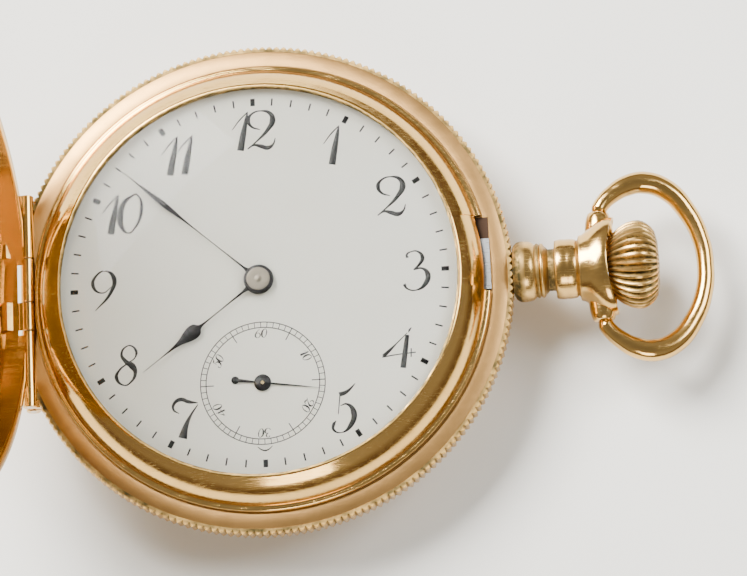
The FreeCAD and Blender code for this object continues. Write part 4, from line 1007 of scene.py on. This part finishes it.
# Pen strokes of the figures, one unit high: (x, y, width) along each stroke
FIGURES = {
    "0": [[(.47, 1, .03), (.2, .82, .1), (.07, .45, .16), (.12, .12, .1), (.25, 0, .03),
          (.45, .15, .05), (.6, .55, .09), (.58, .87, .05), (.47, 1, .03)]],
    "1": [[(.4, 1, .02), (.36, .8, .09), (.27, .4, .15), (.19, 0, .17)],
         [(.39, .98, .03), (.2, .8, .035), (0, .55, .02)]],
    "2": [[(.33, .51, .02), (.11, .61, .06), (.04, .78, .1), (.13, .93, .05), (.36, 1, .03),
          (.6, .91, .1), (.65, .73, .15), (.53, .51, .1), (.24, .22, .04), (0, .03, .03)],
         [(0, .03, .03), (.16, .12, .05), (.33, .08, .1), (.51, .03, .11), (.64, .11, .05),
          (.7, .27, .02)]],
    "3": [[(.14, .83, .07), (.13, .91, .05), (.24, .98, .03), (.39, .98, .04), (.51, .82, .1),
          (.43, .65, .07), (.28, .52, .03)],
         [(.28, .52, .03), (.49, .54, .05), (.62, .39, .13), (.57, .17, .12), (.32, 0, .03),
          (.09, .06, .04), (.03, .17, .08)]],
    "4": [[(.67, .87, .02), (.4, .62, .03), (.18, .42, .08), (.06, .32, .09)],
         [(.03, .3, .03), (.5, .35, .025), (.86, .37, .03)],
         [(.75, .48, .03), (.74, .26, .03)],
         [(.67, .82, .1), (.6, .4, .125), (.53, 0, .14)],
         [(.7, .88, .02), (.73, .94, .05), (.78, 1, .015)]],
    "5": [[(.2, .85, .11), (.33, .88, .1), (.46, .96, .06), (.6, 1.1, .02)],
         [(.22, .84, .03), (.16, .36, .02)],
         [(.22, .57, .02), (.38, .6, .05), (.54, .38, .15), (.46, .08, .12), (.22, -.1, .02),
          (.03, -.02, .06), (.04, .12, .08), (.1, .2, .02)]],
    "7": [[(.17, .62, .02), (.04, .72, .05), (.04, .85, .07), (.2, .97, .1), (.42, .9, .09),
          (.64, .86, .02)],
         [(.64, .82, .02), (.45, .55, .06), (.32, .28, .13), (.24, 0, .22)]],
    "8": [[(.55, .82, .07), (.46, .96, .04), (.33, .99, .03), (.17, .8, .06), (.27, .6, .1),
          (.43, .47, .16), (.5, .3, .09), (.36, .05, .04), (.22, 0, .03), (.03, .2, .09),
          (.1, .38, .05), (.3, .54, .03), (.5, .68, .03), (.55, .82, .07)]],
    "9": [[(.51, .6, .02), (.23, .44, .03), (.02, .65, .09), (.14, .92, .05), (.34, 1, .03),
          (.55, .8, .12), (.45, .42, .08), (.07, 0, .02)]],
}
FIGURES["6"] = [[(.57 - x, 1 - y, w) for x, y, w in line] for line in FIGURES["9"]]
FIGURE_WIDTH = {"0": 0.62, "1": 0.4, "2": 0.7, "3": 0.65, "4": 0.86, "5": 0.55, "7": 0.64}


def round_place(radius, degrees, centre=(0, 0)):
    """A place on a circle, its angle measured clockwise from twelve o'clock."""
    angle = math.radians(90 - degrees)
    return centre[0] + radius * math.cos(angle), centre[1] + radius * math.sin(angle)


def figure_strokes(text, at, height, turn=0.0, weight=1.0, gap=-0.03):
    """The strokes of a number, centred at a place on the dial and turned, in degrees."""
    widths = [FIGURE_WIDTH.get(char, 0.57) for char in text]
    pen = -(sum(widths) + gap * (len(text) - 1)) / 2
    cos, sin = math.cos(math.radians(turn)), math.sin(math.radians(turn))
    pieces = []
    for char, width in zip(text, widths):
        for line in FIGURES[char]:
            points = []
            for x, y, breadth in line:
                across, along = (pen + x) * height, (y - 0.5) * height
                points.append((at[0] + across * cos - along * sin,
                               at[1] + across * sin + along * cos, breadth * height * weight))
            broad = max(point[2] for point in points)
            pieces.append(stroke("stroke", points, broad, 0.08))
        pen += width + gap
    return pieces


def ring_line(radius, width, at):
    """A thin printed circle."""
    near, far = radius - width / 2, radius + width / 2
    return turned("ring", [(near, DIAL_TOP), (far, DIAL_TOP), (far, PRINT_TOP), (near, PRINT_TOP)],
                  at=(*at, 0), steps=180)


def mark_round(radius, length, width, count, at=(0, 0)):
    """Printed marks, evenly round a centre, the first at twelve o'clock."""
    x, y = at
    mark = block("marks", (x - width / 2, y + radius - length / 2, DIAL_TOP - 0.01),
                 (x + width / 2, y + radius + length / 2, PRINT_TOP))
    repeat_round(mark, count, (x * MM, y * MM, 0))
    return mark


class WATCH_OT_print(bpy.types.Operator):
    """What is printed on the dial: minute marks, hour figures and the seconds track"""
    bl_idname = "watch.print"
    bl_label = "Dial print"

    mark_length, minute_width, five_width = 0.53, 0.11, 0.32
    hours = (12, 1, 2, 3, 4, 5, 7, 8, 9, 10, 11)
    track_width, track_line, second_width = 0.38, 0.06, 0.045
    ten_length, ten_ring, ten_height = 0.92, 3.5, 0.62
    ten_figures = ("60", "10", "20", "30", "40", "50")
    # the foot of the six, below the seconds track
    six_foot = ((-.51, -11.68, .04), (-.25, -11.9, .08), (0, -11.97, .1), (.25, -11.9, .08),
                (.51, -11.68, .04))

    def execute(self, context):
        ink = finish("ink")
        marks = [mark_round(sizes().minute_ring, self.mark_length, width, count)
                 for width, count in ((self.minute_width, 60), (self.five_width, 12))]
        dress(joined("minute_marks", marks), ink)

        pieces = []
        for hour in self.hours:
            at = round_place(sizes().figure_ring, 30 * hour)
            pieces += figure_strokes(str(hour), at, sizes().figure_height)
        dress(joined("hour_figures", pieces), ink)

        outer, at, wide = sizes().seconds_ring, SECONDS_PLACE, self.track_width
        track = [ring_line(outer, self.track_line, at),
                 ring_line(outer - wide, self.track_line, at),
                 mark_round(outer - wide / 2, wide, self.second_width, 60, at)]
        tens = mark_round(outer - self.ten_length / 2, self.ten_length, self.track_line, 6, at)
        turn_mesh(tens, math.radians(30), (at[0] * MM, at[1] * MM, 0))
        track.append(tens)
        for k, text in enumerate(self.ten_figures):
            place = round_place(self.ten_ring, 60 * k, at)
            track += figure_strokes(text, place, self.ten_height, -60 * k, 1.35, 0.1)
        track.append(stroke("six", self.six_foot, 0.1, 0.2))
        dress(joined("seconds_track", track), ink)
        return {"FINISHED"}


def flat_shape(name, halves, thickness, height, bevel=0.02):
    """A hand's blade: an outline of (y, half width) points mirrored about the middle."""
    outline = [(w, y, 0) for y, w in halves] + [(-w, y, 0) for y, w in reversed(halves) if w > 0]
    curve, spline = start_curve(name, outline, pointed=True)
    spline.use_cyclic_u = True
    curve.dimensions = "2D"
    curve.fill_mode = "BOTH"
    curve.resolution_u = 8
    curve.extrude = (thickness / 2 - bevel) * MM
    curve.bevel_depth = bevel * MM
    curve.offset = -bevel * MM
    piece = curve_mesh()
    bpy.ops.transform.translate(value=(0, 0, height * MM))
    return end_piece(piece, 30.0)


def place_hand(pieces, name, turn, at, body, node_name):
    """Join a hand, turn it to its time and set it on its pivot."""
    hand = joined(name, pieces)
    turn_mesh(hand, math.radians(turn))
    shift_mesh(hand, (*at, 0))
    dress(hand, finish("black_steel"), body, (node_name,))


class WATCH_OT_hands(bpy.types.Operator):
    """Hour, minute and seconds hands"""
    bl_idname = "watch.hands"
    bl_label = "Hands"

    hour_turn, minute_turn, seconds_turn = 126.5, 48.0, -98.6

    def execute(self, context):
        foot = low("hour_hand")[2]
        blade = flat_shape("hour", [
            (0.6, 0.12), (1.4, 0.075), (4.9, 0.075), (5.2, 0.16), (5.45, 0.42), (5.8, 0.5),
            (6.25, 0.42), (6.9, 0.2), (7.7, 0.075), (10.2, 0)], 0.09, foot + 0.045)
        hub = turned("hub", [
            (0.5, 0), (1.0, 0), (1.04, 0.03), (1.0, 0.1), (0.9, 0.12), (0.5, 0.12)],
            at=(0, 0, foot), steps=64)
        place_hand([blade, hub], "hour_blade", self.hour_turn, (0, 0), "hour_hand", "hour_hand")

        foot = low("minute_hand")[2]
        blade = flat_shape("minute", [
            (0.6, 0.1), (1.4, 0.065), (6.7, 0.065), (7.8, 0.14), (8.8, 0.19), (9.9, 0.12),
            (11.3, 0.035), (12.8, 0)], 0.08, foot + 0.04)
        hub = turned("hub", [
            (0.3, 0), (0.98, 0), (1.02, 0.04), (0.98, 0.12), (0.86, 0.16), (0.78, 0.13),
            (0.3, 0.10)], at=(0, 0, foot), steps=64)
        place_hand([blade, hub], "minute_blade", self.minute_turn, (0, 0), "minute_hand",
                   "minute_hand")
        boss = turned("hub_boss", [
            (0, 0.16), (0.14, 0.16), (0.2, 0.13), (0.34, 0.12), (0.72, 0.19), (0.8, 0.17),
            (0.82, 0.08), (0, 0.08)], at=(0, 0, foot), steps=64)
        dress(boss, finish("worn_steel"), "minute_hand")

        foot = low("seconds_hand")[2]
        blade = flat_shape("seconds", [
            (-1.9, 0.05), (-0.4, 0.06), (0.5, 0.06), (2.5, 0.035), (4.1, 0)],
            0.06, foot + 0.03, 0.01)
        hub = turned("hub", [(0.1, 0), (0.57, 0), (0.59, 0.03), (0.52, 0.08), (0.1, 0.08)],
                     at=(0, 0, foot), steps=48)
        disc = turned("disc", [(0, 0), (0.26, 0), (0.27, 0.03), (0.24, 0.06), (0, 0.06)],
                      at=(0, -1.9, foot), steps=32)
        place_hand([blade, hub, disc], "seconds_blade", self.seconds_turn, SECONDS_PLACE,
                   "fourth_wheel", "seconds_hand")
        return {"FINISHED"}


class WATCH_OT_pendant(bpy.types.Operator):
    """Pendant with its turned rings, hollow head and two horns for the bow"""
    bl_idname = "watch.pendant"
    bl_label = "Pendant"

    horn_place = 23.5
    # from where along the pendant, and how much wider
    widening = ((22.0, 1.06), (22.4, 1.10), (22.9, 1.10), (23.3, 1.04))
    bell_start, bell_length, bell_bow, bell_half = 22.2, 2.0, 0.75, 3.4

    def execute(self, context):
        neck = turned("pendant_neck", [
            (0.8, 17.45), (1.62, 17.45), (1.9, 17.6, -0.06), (2.1, 18.1, -0.03), (2.02, 18.75),
            (1.86, 18.95), (1.80, 19.0), (1.84, 19.06, -0.05), (1.84, 19.26), (1.76, 19.3),
            (1.84, 19.34, -0.05), (1.84, 19.56), (1.74, 19.62), (1.5, 19.85, 0.03), (1.45, 19.95),
            (1.45, 20.28), (1.55, 20.33), (1.95, 20.37), (2.02, 20.45, -0.04), (2.06, 21.1, -0.04),
            (2.0, 21.8), (1.9, 21.9), (1.98, 21.98), (2.12, 22.05), (2.2, 22.3), (2.34, 22.7),
            (2.5, 23.1), (2.58, 23.5), (2.6, 23.8), (2.56, 23.92), (2.48, 23.92), (2.3, 23.5),
            (2.1, 23.3), (0.8, 23.3)], "X", (0, 0, STEM_HEIGHT), 128)
        horns = []
        for side in (-1, 1):
            horn = turned("horn", [(radius, side * along) for radius, along in (
                (0.0, 2.0), (0.95, 2.0), (0.98, 2.6), (0.93, 3.1), (0.84, 3.5), (0.74, 3.76),
                (0.6, 3.86), (0.0, 3.86))], "X", steps=48)
            turn_mesh(horn, math.pi / 2)
            shift_mesh(horn, (self.horn_place, 0, STEM_HEIGHT))
            horns.append(horn)
        # the head widens towards the horns, and its front edge bows forward over them
        for first, widen in self.widening:
            squeeze(neck, lambda place: place.x > first, (1, widen, 1), (0, 0, STEM_HEIGHT * MM))
        for vertex in neck.data.vertices:
            place = vertex.co / MM
            share = max(0.0, min(1.0, (place.x - self.bell_start) / self.bell_length))
            forward = self.bell_bow * share * min(1.0, (place.y / self.bell_half) ** 2)
            vertex.co.x += forward * MM
        piece = joined("pendant_neck", [neck] + horns)
        gold = gold_material("pendant_gold", colours().gold, 0.10, 0.6, 0.97, pendant_dirt)
        dress(piece, gold, replaces=("pendant",))
        return {"FINISHED"}


class WATCH_OT_crown(bpy.types.Operator):
    """Fluted onion crown"""
    bl_idname = "watch.crown"
    bl_label = "Crown"

    flute_depth, flute_radius = 0.3, 2.8
    # which eighths of a flute are cut, and how deep
    flute_shape = (((4,), 1.0), ((3, 5), 0.72), ((2, 6), 0.25))

    def execute(self, context):
        count = sizes().flutes
        start, end = CROWN_START, CROWN_END
        shape = [(radius, start + along) for radius, along in (
            (0, 0.5), (1.3, 0.5), (1.3, 0), (1.72, 0), (1.88, 0.05), (2.25, 0.4), (2.65, 0.9),
            (2.92, 1.4), (3.04, 1.9), (3.05, 2.25), (2.98, 2.5), (2.93, 2.6), (2.8, 2.82),
            (2.55, 3.1), (2.2, 3.33))] + [(1.5, end - 0.06), (0, end)]
        crown = turned("crown_shell", shape, "X", (0, 0, STEM_HEIGHT), 8 * count, 4, smooth=35.0)

        def fluted(place, first, last, stages):
            across, up = place.y, place.z - STEM_HEIGHT
            turn = math.atan2(across, up) / FULL_TURN * count % 1.0
            return (first < place.x <= last and math.hypot(across, up) > 1.5
                    and round(8 * turn) % 8 in stages)

        bands = ((start + 0.02, start + 0.3, 0.7), (start + 0.3, start + 2.45, 1.0),
                 (start + 2.45, start + 3.1, 0.8))
        for first, last, share in bands:
            for stages, depth in self.flute_shape:
                factor = 1 - share * depth * self.flute_depth / self.flute_radius
                squeeze(crown, lambda place: fluted(place, first, last, stages),
                        (1, factor, factor), (0, 0, STEM_HEIGHT * MM))
        edit_all(crown)
        end_piece(crown, 30.0)
        gold = gold_material("crown_gold", colours().gold, 0.14, 0.6, 0.96, crown_dirt)
        dress(crown, gold, "crown", ("crown",))
        return {"FINISHED"}


class WATCH_OT_bow(bpy.types.Operator):
    """Bow of round wire, swelling at its sides"""
    bl_idname = "watch.bow"
    bl_label = "Bow"

    pivot = 23.5
    droop = math.radians(10)
    # (along, across, radius) from one foot to the middle
    half = ((23.5, 3.15, 0.36), (23.5, 3.8, 0.38), (23.6, 4.1, 0.55), (23.95, 4.62, 0.58),
            (24.6, 5.2, 0.63), (25.6, 5.78, 0.73), (26.9, 6.0, 0.78), (28.4, 5.45, 0.75),
            (29.75, 3.9, 0.68), (30.6, 1.9, 0.62))
    middle = (30.82, 0.0, 0.59)

    def execute(self, context):
        points = [*self.half, self.middle, *((x, -y, r) for x, y, r in reversed(self.half))]
        cos, sin = math.cos(self.droop), math.sin(self.droop)
        places = [(self.pivot + (x - self.pivot) * cos, y, STEM_HEIGHT - (x - self.pivot) * sin)
                  for x, y, r in points]
        wire = round_wire("bow_wire", places, [r for x, y, r in points], MM, 10, 5)
        end_piece(wire, 50.0)
        dress(wire, finish("polished_gold"), "bow", ("bow",))
        return {"FINISHED"}


OPERATORS = (WATCH_OT_finishes, WATCH_OT_stage, WATCH_OT_band, WATCH_OT_covers, WATCH_OT_bezel,
             WATCH_OT_crystal, WATCH_OT_print, WATCH_OT_hands, WATCH_OT_pendant, WATCH_OT_crown,
             WATCH_OT_bow)


class WATCH_PT_panel(bpy.types.Panel):
    """Sizes, colours and steps of the watch"""
    bl_idname = "WATCH_PT_panel"
    bl_label = "Hunter Pocket Watch"
    bl_space_type = "VIEW_3D"
    bl_region_type = "UI"
    bl_category = "Watch"

    def draw(self, context):
        column = self.layout.column()
        for group in (context.scene.watch_sizes, context.scene.watch_colours):
            for name in group.__annotations__:
                column.prop(group, name)
        for operator in OPERATORS:
            column.operator(operator.bl_idname)


CLASSES = (WatchSizes, WatchColours) + OPERATORS + (WATCH_PT_panel,)


def register():
    for item in CLASSES:
        bpy.utils.register_class(item)
    bpy.types.Scene.watch_sizes = bpy.props.PointerProperty(type=WatchSizes)
    bpy.types.Scene.watch_colours = bpy.props.PointerProperty(type=WatchColours)


def unregister():
    del bpy.types.Scene.watch_sizes
    del bpy.types.Scene.watch_colours
    for item in reversed(CLASSES):
        bpy.utils.unregister_class(item)


def main():
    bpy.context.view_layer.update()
    register()
    bpy.ops.watch.finishes()
    bpy.ops.watch.stage()
    bpy.ops.watch.band()
    bpy.ops.watch.covers()
    bpy.ops.watch.bezel()
    bpy.ops.watch.crystal()
    bpy.ops.watch.print()
    bpy.ops.watch.hands()
    bpy.ops.watch.pendant()
    bpy.ops.watch.crown()
    bpy.ops.watch.bow()


if __name__ == "__main__":
    main()
